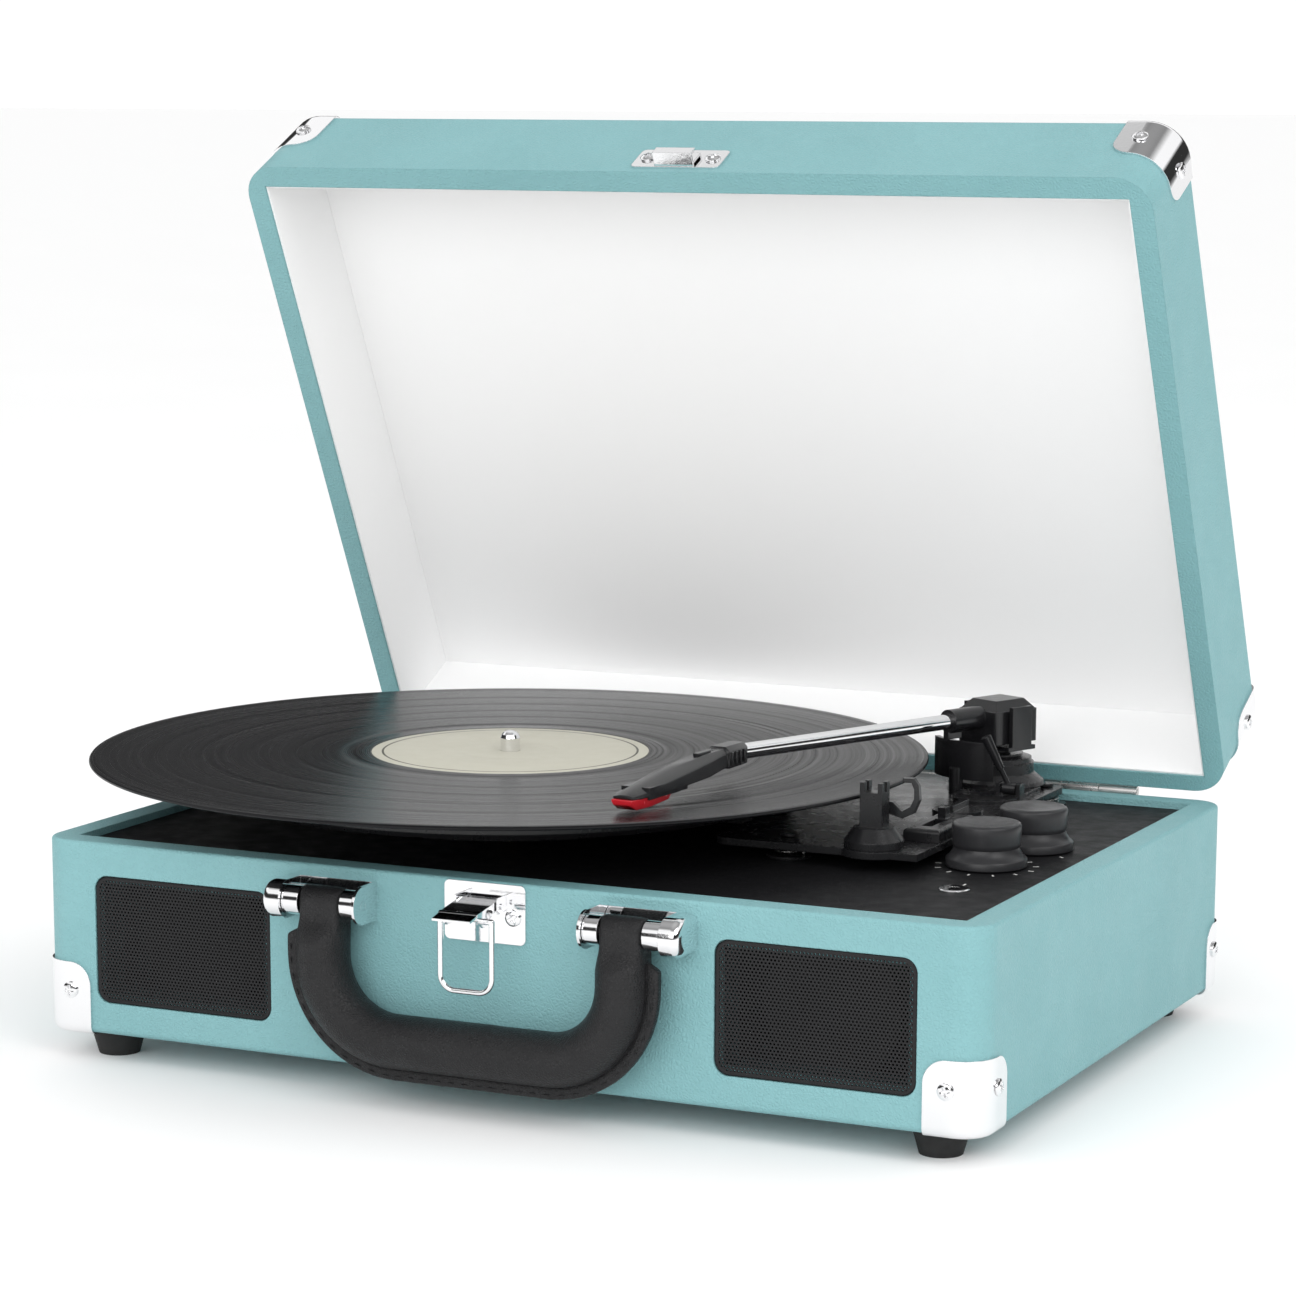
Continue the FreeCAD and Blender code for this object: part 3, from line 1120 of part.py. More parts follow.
def make_bail():
    """The wire loop: two legs and a rounded bottom, with bent-in ends in the lever's sides."""
    half = 9.5
    wire_radius = 1.0
    y, top = dim("bail_y"), dim("bail_z")
    body = new_body("bail_bar")
    path = plane_sketch(body, "bail_path", "XZ_Plane", -y)
    path.addGeometry(u_line(half, 5.0, number_of(top - dim("bail_drop")), number_of(top)), False)
    section = plane_sketch(body, "bail_section", "XY_Plane", top)
    circle(section, -half, y, wire_radius)
    swept(body, "bail_pipe", section, path)
    pieces = [body]
    for side in (-1, 1):
        knee = doc.addObject("Part::Sphere", f"bail_knee_{side}")
        knee.Radius = wire_radius
        pieces.append(move(knee, side * half, y, top))
        start = -half if side < 0 else 6.2
        pieces.append(rod(f"bail_end_{side}", start, y, top, wire_radius, half - 6.2, "x"))
    finish("latch_bail", fuse("bail_whole", pieces))


def u_line(half, bend, bottom, top):
    """A U from left top to right top: legs at +-half, round corners, and a level bottom."""
    lean = math.sqrt(0.5)
    centre_x, centre_z = half - bend, bottom + bend
    corners = {side: Vector(side * (centre_x + bend * lean), centre_z - bend * lean, 0) for side in (-1, 1)}
    foot = {side: Vector(side * centre_x, bottom, 0) for side in (-1, 1)}
    knee = {side: Vector(side * half, centre_z, 0) for side in (-1, 1)}
    return [Part.LineSegment(Vector(-half, top, 0), knee[-1]), Part.Arc(knee[-1], corners[-1], foot[-1]),
            Part.LineSegment(foot[-1], foot[1]), Part.Arc(foot[1], corners[1], knee[1]),
            Part.LineSegment(knee[1], Vector(half, top, 0))]


def swept(body, name, section, path):
    """Sweeps a round section along the five pieces of a U line."""
    pipe = body.newObject("PartDesign::AdditivePipe", name)
    pipe.Profile = section
    pipe.Spine = (path, [f"Edge{index}" for index in range(1, 6)])
    body.Tip = pipe


def make_catch():
    """The lid's hook, above the latch when the lid is closed."""
    low = LID_RIM + 2.5
    plate = block("catch_back", -17, LID_FRONT - 0.8, low, 34, 0.8, 13)
    soft = rounded("catch_back_soft", plate, lambda edge: runs_along(edge, BACK), 2)
    shelf = block("catch_shelf", -7.5, LID_FRONT - 6, low + 0.4, 15, 5.6, 0.8)
    lip = block("catch_lip", -7.5, LID_FRONT - 6, low + 0.4, 15, 0.8, 4.2)
    bridge = block("catch_bridge", -7.5, LID_FRONT - 2.4, low + 7.2, 15, 2.0, 0.8)
    face = block("catch_face", -7.5, LID_FRONT - 2.4, low + 0.4, 15, 0.8, 7.6)
    whole = fuse("catch_whole", [soft, shelf, lip, bridge, face])
    finish("lid_catch", cut("catch_drilled", whole, [lid_screws.hole_group("catch_holes")]), "lid")


EAR_INNER = 41.0
EAR_OUTER = 77.0


def make_handle():
    pin_y, pin_z = dim("handle_pin_y"), dim("handle_pin_z")
    brackets, pins, eyes = [], [], []
    for side in (-1, 1):
        centre = side * (EAR_INNER + EAR_OUTER) / 2
        plate = centred(f"bracket_back_{side}", centre, FRONT - 0.5, pin_z - 6.5, EAR_OUTER - EAR_INNER, 1, 13)
        pieces = [plate]
        for tag, ear_x, thick in (("inner", EAR_INNER + 0.5, 1.0), ("outer", EAR_OUTER - 3.6, 7.2)):
            x = side * ear_x
            middle = (FRONT + pin_y) / 2
            box = centred(f"bracket_{tag}_{side}", x, middle, pin_z - 6.5, thick, FRONT - pin_y, 13)
            nose = rod(f"bracket_{tag}_nose_{side}", x - thick / 2, pin_y, pin_z, 6.5, thick, "x")
            pieces += [box, nose]
        bracket = fuse(f"bracket_{side}", pieces)
        outer_x = side * EAR_OUTER

        def outer_rim(edge, outer_x=outer_x):
            box = edge.BoundBox
            flat = abs(box.XMin - outer_x) < 1e-3 and abs(box.XMax - outer_x) < 1e-3
            return flat and box.YMax < number_of(FRONT) - 1e-3

        dome = rounded(f"bracket_dome_{side}", bracket, outer_rim, 3.0)
        hole = rod(f"bracket_hole_{side}", centre - 20, pin_y, pin_z, 1.6 + HOLE_GAP, 40, "x")
        keep_x = side * (EAR_OUTER + 1) - 4
        keep = block(f"bracket_keep_{side}", keep_x, pin_y - 8, pin_z - 7, 8, 16, 14)
        short_hole = cut(f"bracket_hole_short_{side}", hole, [keep])
        brackets.append(cut(f"bracket_drilled_{side}", dome, [short_hole]))
        start = side * EAR_INNER if side > 0 else -(EAR_OUTER - 3.2)
        pins.append(rod(f"handle_pin_{side}", start, pin_y, pin_z, 1.6, EAR_OUTER - EAR_INNER - 3.2, "x"))
        for tag, low, high in (("in", EAR_INNER + 1.2, 47.5), ("out", 63.5, EAR_OUTER - 7.4)):
            x = low if side > 0 else -high
            barrel = rod(f"eye_{tag}_{side}", x, pin_y, pin_z, 5, high - low, "x")
            bore = rod(f"eye_bore_{tag}_{side}", x - 1, pin_y, pin_z, 1.6 + GAP, high - low + 2, "x")
            eyes.append(cut(f"eye_cut_{tag}_{side}", barrel, [bore]))
    finish("handle_brackets", compound("brackets", brackets))
    finish("handle_pins", compound("pins", pins))
    finish("handle_eyes", compound("eyes", eyes))
    make_grip(pin_y, pin_z)


def grip_line(offset, top):
    """The handle's U line, moved outwards by offset."""
    half = number_of(dim("handle_x")) + offset
    return u_line(half, number_of(dim("grip_bend")) + offset, number_of(dim("grip_bottom")) - offset, top)


def make_grip(pin_y, pin_z):
    """The padded leather grip: a bar along the U, its sewn flange outside, and a loop round each pin."""
    body = new_body("grip_bar")
    top = number_of(pin_z) - 5.5
    path = plane_sketch(body, "grip_path", "XZ_Plane", -dim("grip_y"))
    path.addGeometry(grip_line(0, top), False)
    section = plane_sketch(body, "grip_section", "XY_Plane", pin_z - 5.5)
    circle(section, -dim("handle_x"), dim("grip_y"), dim("grip_radius"))
    swept(body, "grip_pipe", section, path)

    outer = [curve.toShape() for curve in grip_line(13.2, top - 4)]
    inner = [curve.toShape() for curve in grip_line(2, top - 4)]
    ends = [Part.makeLine(outer[0].Vertexes[0].Point, inner[0].Vertexes[0].Point),
            Part.makeLine(outer[-1].Vertexes[-1].Point, inner[-1].Vertexes[-1].Point)]
    wire = Part.Wire(Part.__sortEdges__(outer + inner + ends))
    flange = doc.addObject("Part::Feature", "grip_flange")
    flange.Shape = Part.Face(wire).extrude(Vector(0, 0, 3))
    move(flange, 0, dim("grip_y") + 1.5, 0, 90, RIGHT)

    loops = []
    for side in (-1, 1):
        loops.append(centred(f"grip_loop_{side}", side * dim("handle_x"), pin_y, pin_z - 8, 15.6, 11.6, 8))
        loops.append(rod(f"grip_eye_{side}", side * dim("handle_x") - 7.8, pin_y, pin_z, 5.8, 15.6, "x"))
    whole = fuse("grip_whole", [body, flange] + loops)
    bore = rod("grip_bore", -90, pin_y, pin_z, 1.6 + GAP, 180, "x")
    finish("handle_grip", cut("grip_bored", whole, [bore]))


# ---------------------------------------------------------------- build, check and write

make_case()
make_feet()
make_deck()
make_hinge()
for speaker_side, hand in ((-1, "left"), (1, "right")):
    make_grille(speaker_side, f"speaker_grille_{hand}")
    make_speaker(speaker_side, f"speaker_{hand}")
make_chassis()
make_suspension()
make_platter()
make_drive()
make_pedestal()
make_tonearm()
make_lifter()
make_rest()
make_switches()
make_controls()
make_sockets()
make_electronics()
make_latch()
make_handle()
doc.recompute()

for item in doc.Objects:
    if "Invalid" in item.State or "Error" in item.State:
        raise RuntimeError(f"{item.Name} failed: {item.State}")
for label, obj in parts.items():
    if obj.Shape.isNull() or not obj.Shape.isValid() or not obj.Shape.Solids:
        raise RuntimeError(f"{label} has no valid solid")
if len(parts) > 60:
    raise RuntimeError("more than 60 sub-parts")

os.makedirs("parts", exist_ok=True)
for label, obj in parts.items():
    obj.Shape.exportStep(os.path.join("parts", f"{label}.step"))
    print(label, len(obj.Shape.Solids), round(obj.Shape.Volume, 1))
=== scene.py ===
import math

import bmesh
import bpy
import numpy as np
from mathutils import Matrix, Vector, noise


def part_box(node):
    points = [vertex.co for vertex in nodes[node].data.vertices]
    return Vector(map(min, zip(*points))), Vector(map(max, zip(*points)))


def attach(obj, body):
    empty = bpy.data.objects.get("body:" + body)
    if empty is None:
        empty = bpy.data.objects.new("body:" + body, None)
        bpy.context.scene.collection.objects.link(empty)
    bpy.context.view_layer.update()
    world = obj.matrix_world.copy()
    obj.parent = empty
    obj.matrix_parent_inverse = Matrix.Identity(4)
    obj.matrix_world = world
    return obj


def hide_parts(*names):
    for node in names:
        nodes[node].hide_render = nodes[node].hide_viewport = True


# Looks of a suitcase record player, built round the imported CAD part.
# Metres, +Z up, +X to the right, +Y to the back.

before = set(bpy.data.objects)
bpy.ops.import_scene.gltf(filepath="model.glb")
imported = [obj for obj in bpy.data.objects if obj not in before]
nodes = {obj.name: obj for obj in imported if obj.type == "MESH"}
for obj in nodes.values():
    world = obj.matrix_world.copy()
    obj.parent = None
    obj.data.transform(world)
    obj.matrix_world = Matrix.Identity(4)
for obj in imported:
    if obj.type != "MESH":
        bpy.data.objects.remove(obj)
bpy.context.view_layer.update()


# ---------------------------------------------------------------- materials

class Look:
    """One node material: colour, roughness and bump, each varied by procedural noise in object space."""

    def __init__(self, name, color, rough, metal=0.0, coat=0.0, spec=0.5):
        self.mat = bpy.data.materials.new(name)
        self.mat.use_nodes = True
        self.tree = self.mat.node_tree
        self.bsdf = self.tree.nodes["Principled BSDF"]
        self.coords = self.tree.nodes.new("ShaderNodeTexCoord").outputs["Object"]
        self.normal = None
        self.bsdf.inputs["Base Color"].default_value = (*color, 1)
        self.bsdf.inputs["Roughness"].default_value = rough
        self.bsdf.inputs["Metallic"].default_value = metal
        self.bsdf.inputs["Coat Weight"].default_value = coat
        self.bsdf.inputs["Coat Roughness"].default_value = 0.08
        self.bsdf.inputs["Specular IOR Level"].default_value = spec

    def add(self, kind, links=(), **values):
        node = self.tree.nodes.new(kind)
        for key, value in values.items():
            if key in node.bl_rna.properties:
                setattr(node, key, value)
            else:
                node.inputs[key.replace("_", " ")].default_value = value
        for socket, source in links:
            self.tree.links.new(source, node.inputs[socket])
        return node

    def noise(self, scale, detail=3.0, rough=0.6, stretch=None):
        source = self.coords
        if stretch:
            source = self.add("ShaderNodeMapping", [("Vector", source)], Scale=stretch).outputs[0]
        return self.add("ShaderNodeTexNoise", [("Vector", source)], Scale=scale, Detail=detail,
                        Roughness=rough).outputs["Fac"]

    def cells(self, scale):
        """Distance to the edge of the nearest grain cell."""
        return self.add("ShaderNodeTexVoronoi", [("Vector", self.coords)], feature="DISTANCE_TO_EDGE",
                        Scale=scale, Randomness=1.0).outputs["Distance"]

    def span(self, fac, low, high, into_low=0.0, into_high=1.0):
        node = self.add("ShaderNodeMapRange", [("Value", fac)])
        sockets = ("From Min", "From Max", "To Min", "To Max")
        for socket, value in zip(sockets, (low, high, into_low, into_high)):
            node.inputs[socket].default_value = value
        return node.outputs["Result"]

    def tint(self, fac, first, second):
        mix = self.add("ShaderNodeMix", data_type="RGBA")
        self.tree.links.new(fac, mix.inputs["Factor"])
        mix.inputs["A"].default_value = (*first, 1)
        mix.inputs["B"].default_value = (*second, 1)
        self.tree.links.new(mix.outputs["Result"], self.bsdf.inputs["Base Color"])
        return mix.outputs["Result"]

    def rough(self, fac, low, high):
        self.tree.links.new(self.span(fac, 0.3, 0.7, low, high), self.bsdf.inputs["Roughness"])

    def soften(self, radius):
        """Rounds hard CAD edges in shading, by radius in metres."""
        self.normal = self.add("ShaderNodeBevel", Radius=radius, samples=4).outputs["Normal"]
        self.tree.links.new(self.normal, self.bsdf.inputs["Normal"])

    def bump(self, height, depth, strength=1.0):
        links = [("Height", height)]
        if self.normal:
            links.append(("Normal", self.normal))
        self.normal = self.add("ShaderNodeBump", links, Distance=depth, Strength=strength).outputs["Normal"]
        self.tree.links.new(self.normal, self.bsdf.inputs["Normal"])

    def radius_from(self, x, y):
        """Distance from a vertical axis at (x, y), in metres."""
        split = self.add("ShaderNodeSeparateXYZ", [("Vector", self.coords)])
        across = self.add("ShaderNodeMath", [(0, split.outputs["X"])], operation="SUBTRACT")
        across.inputs[1].default_value = x
        along = self.add("ShaderNodeMath", [(0, split.outputs["Y"])], operation="SUBTRACT")
        along.inputs[1].default_value = y
        flat = self.add("ShaderNodeCombineXYZ", [("X", across.outputs[0]), ("Y", along.outputs[0])])
        return self.add("ShaderNodeVectorMath", [(0, flat.outputs[0])], operation="LENGTH").outputs["Value"]


def leatherette():
    look = Look("teal_leatherette", (0.209, 0.414, 0.434), 0.5, spec=0.3)
    look.soften(0.0006)
    grain = look.cells(760)
    patches = look.noise(26, 4)
    pores = look.noise(2300, 2)
    look.tint(look.span(patches, 0.3, 0.7), (0.200, 0.400, 0.420), (0.218, 0.428, 0.449))
    look.rough(look.noise(60, 3), 0.44, 0.56)
    look.bump(look.span(grain, 0.0, 0.30), 0.00022, 0.7)
    look.bump(pores, 0.00006, 0.5)
    return look.mat


def lining():
    look = Look("lid_lining", (0.93, 0.93, 0.93), 0.62, spec=0.25)
    look.soften(0.0005)
    look.tint(look.noise(14, 3), (0.955, 0.957, 0.958), (0.970, 0.970, 0.970))
    look.rough(look.noise(80, 2), 0.56, 0.7)
    look.bump(look.noise(1500, 3), 0.00004, 0.35)
    look.bump(look.noise(9, 2), 0.0008, 0.2)
    return look.mat


def plastic(name, color, rough, grain, depth, soft=0.0004, lift=1.35, spec=0.35):
    """Moulded plastic: slight tone changes, uneven gloss and a fine surface grain."""
    look = Look(name, color, rough, spec=spec)
    if soft:
        look.soften(soft)
    look.tint(look.noise(35, 4), tuple(c * 0.85 for c in color), tuple(c * lift for c in color))
    look.rough(look.noise(120, 4), rough * 0.82, rough * 1.18)
    look.bump(look.noise(grain, 3), depth, 0.6)
    return look.mat


def metal(name, color, rough, grain=700, depth=0.00002, soft=0.00025, stretch=None, spread=0.35):
    """Bare or plated metal: smudges in the gloss and faint polishing or rolling lines."""
    look = Look(name, color, rough, metal=1.0)
    if soft:
        look.soften(soft)
    look.tint(look.noise(45, 3), tuple(c * 0.94 for c in color), color)
    look.rough(look.noise(90, 5, 0.7), rough * (1 - spread), rough * (1 + spread))
    look.bump(look.noise(grain, 3, stretch=stretch), depth, 0.35)
    return look.mat


GROOVE_BAND = 0.00105
GROOVE_PITCH = 0.0007
LABEL_RING = (0.0455, 0.0463)


def vinyl(centre):
    """Black vinyl: gloss that changes from band to band, fine grooves, highlights drawn out across them."""
    look = Look("vinyl", (0.006, 0.006, 0.007), 0.24, spec=0.16)
    radius = look.radius_from(*centre)
    rings = look.add("ShaderNodeMath", [(0, radius)], operation="MULTIPLY")
    rings.inputs[1].default_value = 1.0 / GROOVE_BAND
    along = look.add("ShaderNodeCombineXYZ", [("X", rings.outputs[0])])
    uneven = look.add("ShaderNodeTexNoise", [("Vector", along.outputs[0])], Scale=0.55, Detail=5.0,
                      Roughness=0.7)
    gloss = look.span(uneven.outputs["Fac"], 0.35, 0.65, 0.15, 0.32)
    look.tree.links.new(gloss, look.bsdf.inputs["Roughness"])
    wave = look.add("ShaderNodeMath", [(0, radius)], operation="MULTIPLY")
    wave.inputs[1].default_value = 2 * math.pi / GROOVE_PITCH
    groove = look.add("ShaderNodeMath", [(0, wave.outputs[0])], operation="SINE")
    look.bump(groove.outputs[0], 0.00002, 0.5)
    look.bump(uneven.outputs["Fac"], 0.00006, 0.35)
    look.bsdf.inputs["Anisotropic"].default_value = 0.75
    tangent = look.add("ShaderNodeTangent", direction_type="RADIAL", axis="Z")
    look.tree.links.new(tangent.outputs[0], look.bsdf.inputs["Tangent"])
    look.tint(look.noise(30, 3), (0.005, 0.005, 0.006), (0.008, 0.008, 0.009))
    return look.mat


def label_paper(centre):
    look = Look("label_paper", (0.50, 0.49, 0.41), 0.55, spec=0.3)
    radius = look.radius_from(*centre)
    low = look.add("ShaderNodeMath", [(0, radius)], operation="GREATER_THAN")
    low.inputs[1].default_value = LABEL_RING[0]
    high = look.add("ShaderNodeMath", [(0, radius)], operation="LESS_THAN")
    high.inputs[1].default_value = LABEL_RING[1]
    ring = look.add("ShaderNodeMath", [(0, low.outputs[0]), (1, high.outputs[0])], operation="MULTIPLY")
    paper = look.tint(look.noise(60, 4), (0.49, 0.475, 0.395), (0.535, 0.52, 0.44))
    dark = look.add("ShaderNodeMix", data_type="RGBA")
    look.tree.links.new(ring.outputs[0], dark.inputs["Factor"])
    look.tree.links.new(paper, dark.inputs["A"])
    dark.inputs["B"].default_value = (0.09, 0.085, 0.07, 1)
    look.tree.links.new(dark.outputs["Result"], look.bsdf.inputs["Base Color"])
    look.rough(look.noise(140, 3), 0.48, 0.62)
    look.bump(look.noise(1700, 3), 0.00003, 0.4)
    return look.mat


def handle_leather():
    look = Look("handle_leather", (0.011, 0.011, 0.012), 0.46, spec=0.32)
    look.tint(look.noise(50, 4), (0.009, 0.009, 0.010), (0.015, 0.015, 0.016))
    look.rough(look.noise(170, 4), 0.33, 0.52)
    look.bump(look.span(look.cells(1050), 0.0, 0.35), 0.00022, 0.75)
    look.bump(look.noise(2400, 3), 0.00006, 0.5)
    return look.mat


def stylus_plastic():
    look = Look("stylus_red", (0.62, 0.015, 0.025), 0.24, coat=0.3)
    look.soften(0.0004)
    look.bsdf.inputs["Transmission Weight"].default_value = 0.18
    look.bsdf.inputs["Subsurface Weight"].default_value = 0.1
    look.tint(look.noise(120, 2), (0.55, 0.012, 0.022), (0.70, 0.020, 0.032))
    look.rough(look.noise(200, 2), 0.18, 0.3)
    look.bump(look.noise(900, 2), 0.00002, 0.3)
    return look.mat


record_low, record_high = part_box("record")
RECORD_X = (record_low.x + record_high.x) / 2
RECORD_Y = (record_low.y + record_high.y) / 2
RECORD_EDGE = (record_high.x - record_low.x) / 2

LOOKS = {
    "teal": leatherette(),
    "lining": lining(),
    "deck": plastic("deck_black", (0.009, 0.009, 0.010), 0.55, 1300, 0.00014, soft=0.0006, spec=0.14),
    "gloss": plastic("black_plastic", (0.009, 0.009, 0.010), 0.22, 500, 0.00002, spec=0.45),
    "satin": plastic("chassis_black", (0.010, 0.010, 0.011), 0.28, 1400, 0.00004, soft=0.0005, spec=0.4),
    "knob": plastic("knob_plastic", (0.022, 0.022, 0.024), 0.34, 2600, 0.00006, soft=0, spec=0.4),
    "grille": plastic("grille_black", (0.013, 0.013, 0.014), 0.36, 1800, 0.00003, soft=0, spec=0.22),
    "rubber": plastic("rubber", (0.016, 0.016, 0.016), 0.72, 1100, 0.00009, soft=0.0005),
    "chrome": metal("chrome", (0.90, 0.90, 0.91), 0.07),
    "steel": metal("hinge_steel", (0.56, 0.55, 0.54), 0.3, 900, 0.00003, stretch=(0.04, 1, 1)),
    "brass": metal("bearing_brass", (0.72, 0.55, 0.26), 0.24),
    "vinyl": vinyl((RECORD_X, RECORD_Y)),
    "label": label_paper((RECORD_X, RECORD_Y)),
    "leather": handle_leather(),
    "red": stylus_plastic(),
    "board": plastic("circuit_green", (0.03, 0.17, 0.07), 0.4, 600, 0.00005, lift=1.6),
    "cone": plastic("speaker_paper", (0.03, 0.03, 0.03), 0.8, 900, 0.0002, lift=1.6),
    "print": plastic("print_white", (0.72, 0.72, 0.70), 0.5, 900, 0.00001, soft=0, lift=1.05),
}

NODE_LOOKS = {
    "teal": ["base_case", "lid_case"],
    "lining": ["lid_liner"],
    "deck": ["deck_plate"],
    "satin": ["mechanism_chassis", "tonearm_pedestal", "arm_rest", "autostop_housing", "rear_panel",
              "suspension_mounts", "platter"],
    "gloss": ["tonearm_yoke", "arm_block", "headshell", "cartridge", "arm_lifter", "cue_lever", "arm_clip",
              "autostop_slider", "speed_selector"],
    "knob": ["volume_knob", "function_knob"],
    "grille": ["speaker_grille_left", "speaker_grille_right"],
    "rubber": ["rubber_feet", "drive_belt", "speaker_cables", "slip_mat"],
    "chrome": ["base_corners", "lid_corners", "case_screws", "lid_screws", "spindle", "arm_tube",
               "headphone_socket", "rear_sockets", "latch_plate", "latch_pin", "latch_lever", "latch_bail",
               "lid_catch", "handle_brackets", "handle_pins", "handle_eyes"],
    "steel": ["hinge_leaf_base", "hinge_leaf_lid", "hinge_pin", "motor", "volume_control", "function_switch",
              "suspension_springs"],
    "brass": ["platter_bearing", "motor_pulley"],
    "vinyl": ["record"],
    "label": ["record_labels"],
    "leather": ["handle_grip"],
    "red": ["stylus_holder"],
    "board": ["circuit_board"],
    "cone": ["speaker_left", "speaker_right"],
}

for look_name, node_names in NODE_LOOKS.items():
    for node_name in node_names:
        mesh = nodes[node_name].data
        mesh.materials.clear()
        mesh.materials.append(LOOKS[look_name])


# ---------------------------------------------------------------- building pieces

def piece(name, verts, faces, look, body, replaces=(), smooth=True, crease=None, levels=0, bevel=0.0):
    """Makes one visible piece from points and faces, riding on a body."""
    mesh = bpy.data.meshes.new(name)
    mesh.from_pydata([tuple(v) for v in verts], [], faces)
    work = bmesh.new()
    work.from_mesh(mesh)
    bmesh.ops.remove_doubles(work, verts=work.verts, dist=1e-7)
    bmesh.ops.recalc_face_normals(work, faces=work.faces)
    work.to_mesh(mesh)
    work.free()
    obj = bpy.data.objects.new(name, mesh)
    bpy.context.collection.objects.link(obj)
    mesh.materials.append(LOOKS[look])
    if bevel:
        edge = obj.modifiers.new("edge", "BEVEL")
        edge.width = bevel
        edge.segments = 3
        edge.limit_method = "ANGLE"
        edge.angle_limit = math.radians(40)
    if levels:
        soft = obj.modifiers.new("soft", "SUBSURF")
        soft.levels = levels
        soft.render_levels = levels
    if smooth:
        mesh.polygons.foreach_set("use_smooth", [True] * len(mesh.polygons))
        if crease:
            mesh.set_sharp_from_angle(angle=math.radians(crease))
    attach(obj, body)
    if replaces:
        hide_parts(*replaces)
    return obj


def rings_to_faces(rings, around, caps=True):
    """Quads between rings of points that lie one after another, with optional end caps."""
    faces = []
    for ring in range(rings - 1):
        for step in range(around):
            a = ring * around + step
            b = ring * around + (step + 1) % around
            faces.append((a, b, b + around, a + around))
    if caps:
        faces.append(tuple(range(around - 1, -1, -1)))
        faces.append(tuple((rings - 1) * around + step for step in range(around)))
    return faces


def lathe(profile, x, y, around=160):
    """Points and faces of a profile of (radius, height) turned round a vertical axis."""
    verts = []
    for radius, height in profile:
        for step in range(around):
            angle = 2 * math.pi * step / around
            verts.append((x + radius * math.cos(angle), y + radius * math.sin(angle), height))
    return verts, rings_to_faces(len(profile), around, caps=False)


def looped(profile, x, y, around=160):
    """As lathe, for a profile that closes on itself round a hole."""
    verts, faces = lathe(profile, x, y, around)
    last = (len(profile) - 1) * around
    for step in range(around):
        other = (step + 1) % around
        faces.append((last + step, last + other, other, step))
    return verts, faces


# ---------------------------------------------------------------- record and label

def make_record():
    low, high = record_low.z, record_high.z
    hole = 0.00365
    edge = RECORD_EDGE
    top = [(hole, high - 0.0002), (0.0500, high - 0.0002), (0.0502, high)]
    top += [(0.0555, high), (0.0560, high - 0.00012), (0.0600, high - 0.00012), (0.0604, high - 0.00002)]
    bands = [0.0604, 0.0765, 0.0921, 0.1088, 0.1251, 0.1425]
    for start, end in zip(bands, bands[1:]):
        if start != bands[0]:
            top += [(start + 0.0002, high - 0.00018), (start + 0.0009, high - 0.00018)]
        steps = int((end - start) / 0.0014)
        for step in range(1, steps):
            ripple = 0.00003 if step % 2 else 0.0
            top.append((start + 0.001 + (end - start - 0.0014) * step / steps, high - 0.00002 - ripple))
    top += [(0.1430, high - 0.0001), (0.1462, high - 0.0001), (0.1470, high), (edge - 0.0009, high)]
    rim = [(edge - 0.0003, high - 0.0002), (edge, high - 0.0006), (edge, low + 0.0006),
           (edge - 0.0003, low + 0.0002), (edge - 0.0009, low)]
    verts, faces = looped(top + rim + [(0.0502, low), (0.0500, low + 0.0001), (hole, low + 0.0001)],
                          RECORD_X, RECORD_Y, 256)
    piece("record_disc", verts, faces, "vinyl", "turntable", ["record"], crease=30)
    for name, under, over in (("record_label_upper", high - 0.00022, high - 0.00002),
                              ("record_label_lower", low, low + 0.0001)):
        profile = [(hole, under), (hole, over), (0.0100, over), (0.0168, over), (0.0172, over - 0.00004),
                   (0.0180, over - 0.00004), (0.0184, over), (0.0497, over), (0.0499, over - 0.00005),
                   (0.0499, under)]
        verts, faces = looped(profile, RECORD_X, RECORD_Y, 160)
        obj = piece(name, verts, faces, "label", "turntable", crease=50)
        if "upper" in name:
            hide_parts("record_labels")


# ---------------------------------------------------------------- screws with cross recesses

SCREW_LINES = [-1, -0.82, -0.62, -0.58, -0.2, -0.15, 0.15, 0.2, 0.58, 0.62, 0.82, 1]


def screw_head(centre, normal, turn, radius, height):
    """A domed head with a cross recess: a square grid pressed into a disc, and a rim down to the surface."""
    side = normal.orthogonal().normalized()
    side = Matrix.Rotation(turn, 3, normal) @ side
    other = normal.cross(side)
    verts, faces = [], []
    count = len(SCREW_LINES)
    for v in SCREW_LINES:
        for u in SCREW_LINES:
            x, y = u * math.sqrt(1 - v * v / 2), v * math.sqrt(1 - u * u / 2)
            lift = height * (0.45 + 0.55 * max(0.0, 1 - x * x - y * y) ** 0.6)
            cross = (abs(u) <= 0.16 and abs(v) <= 0.59) or (abs(v) <= 0.16 and abs(u) <= 0.59)
            if cross:
                lift -= height * (0.75 if max(abs(u), abs(v)) < 0.3 else 0.55)
            verts.append(centre + (side * x + other * y) * radius + normal * lift)
    for row in range(count - 1):
        for column in range(count - 1):
            a = row * count + column
            faces.append((a, a + 1, a + count + 1, a + count))
    border = list(range(count)) + [row * count + count - 1 for row in range(1, count)]
    border += [(count - 1) * count + column for column in range(count - 2, -1, -1)]
    border += [row * count for row in range(count - 2, 0, -1)]
    start = len(verts)
    for index in border:
        point = verts[index]
        verts.append(point - normal * (point - centre).dot(normal))
    total = len(border)
    for step in range(total):
        following = (step + 1) % total
        faces.append((border[step], border[following], start + following, start + step))
    faces.append(tuple(start + step for step in range(total)))
    return verts, faces


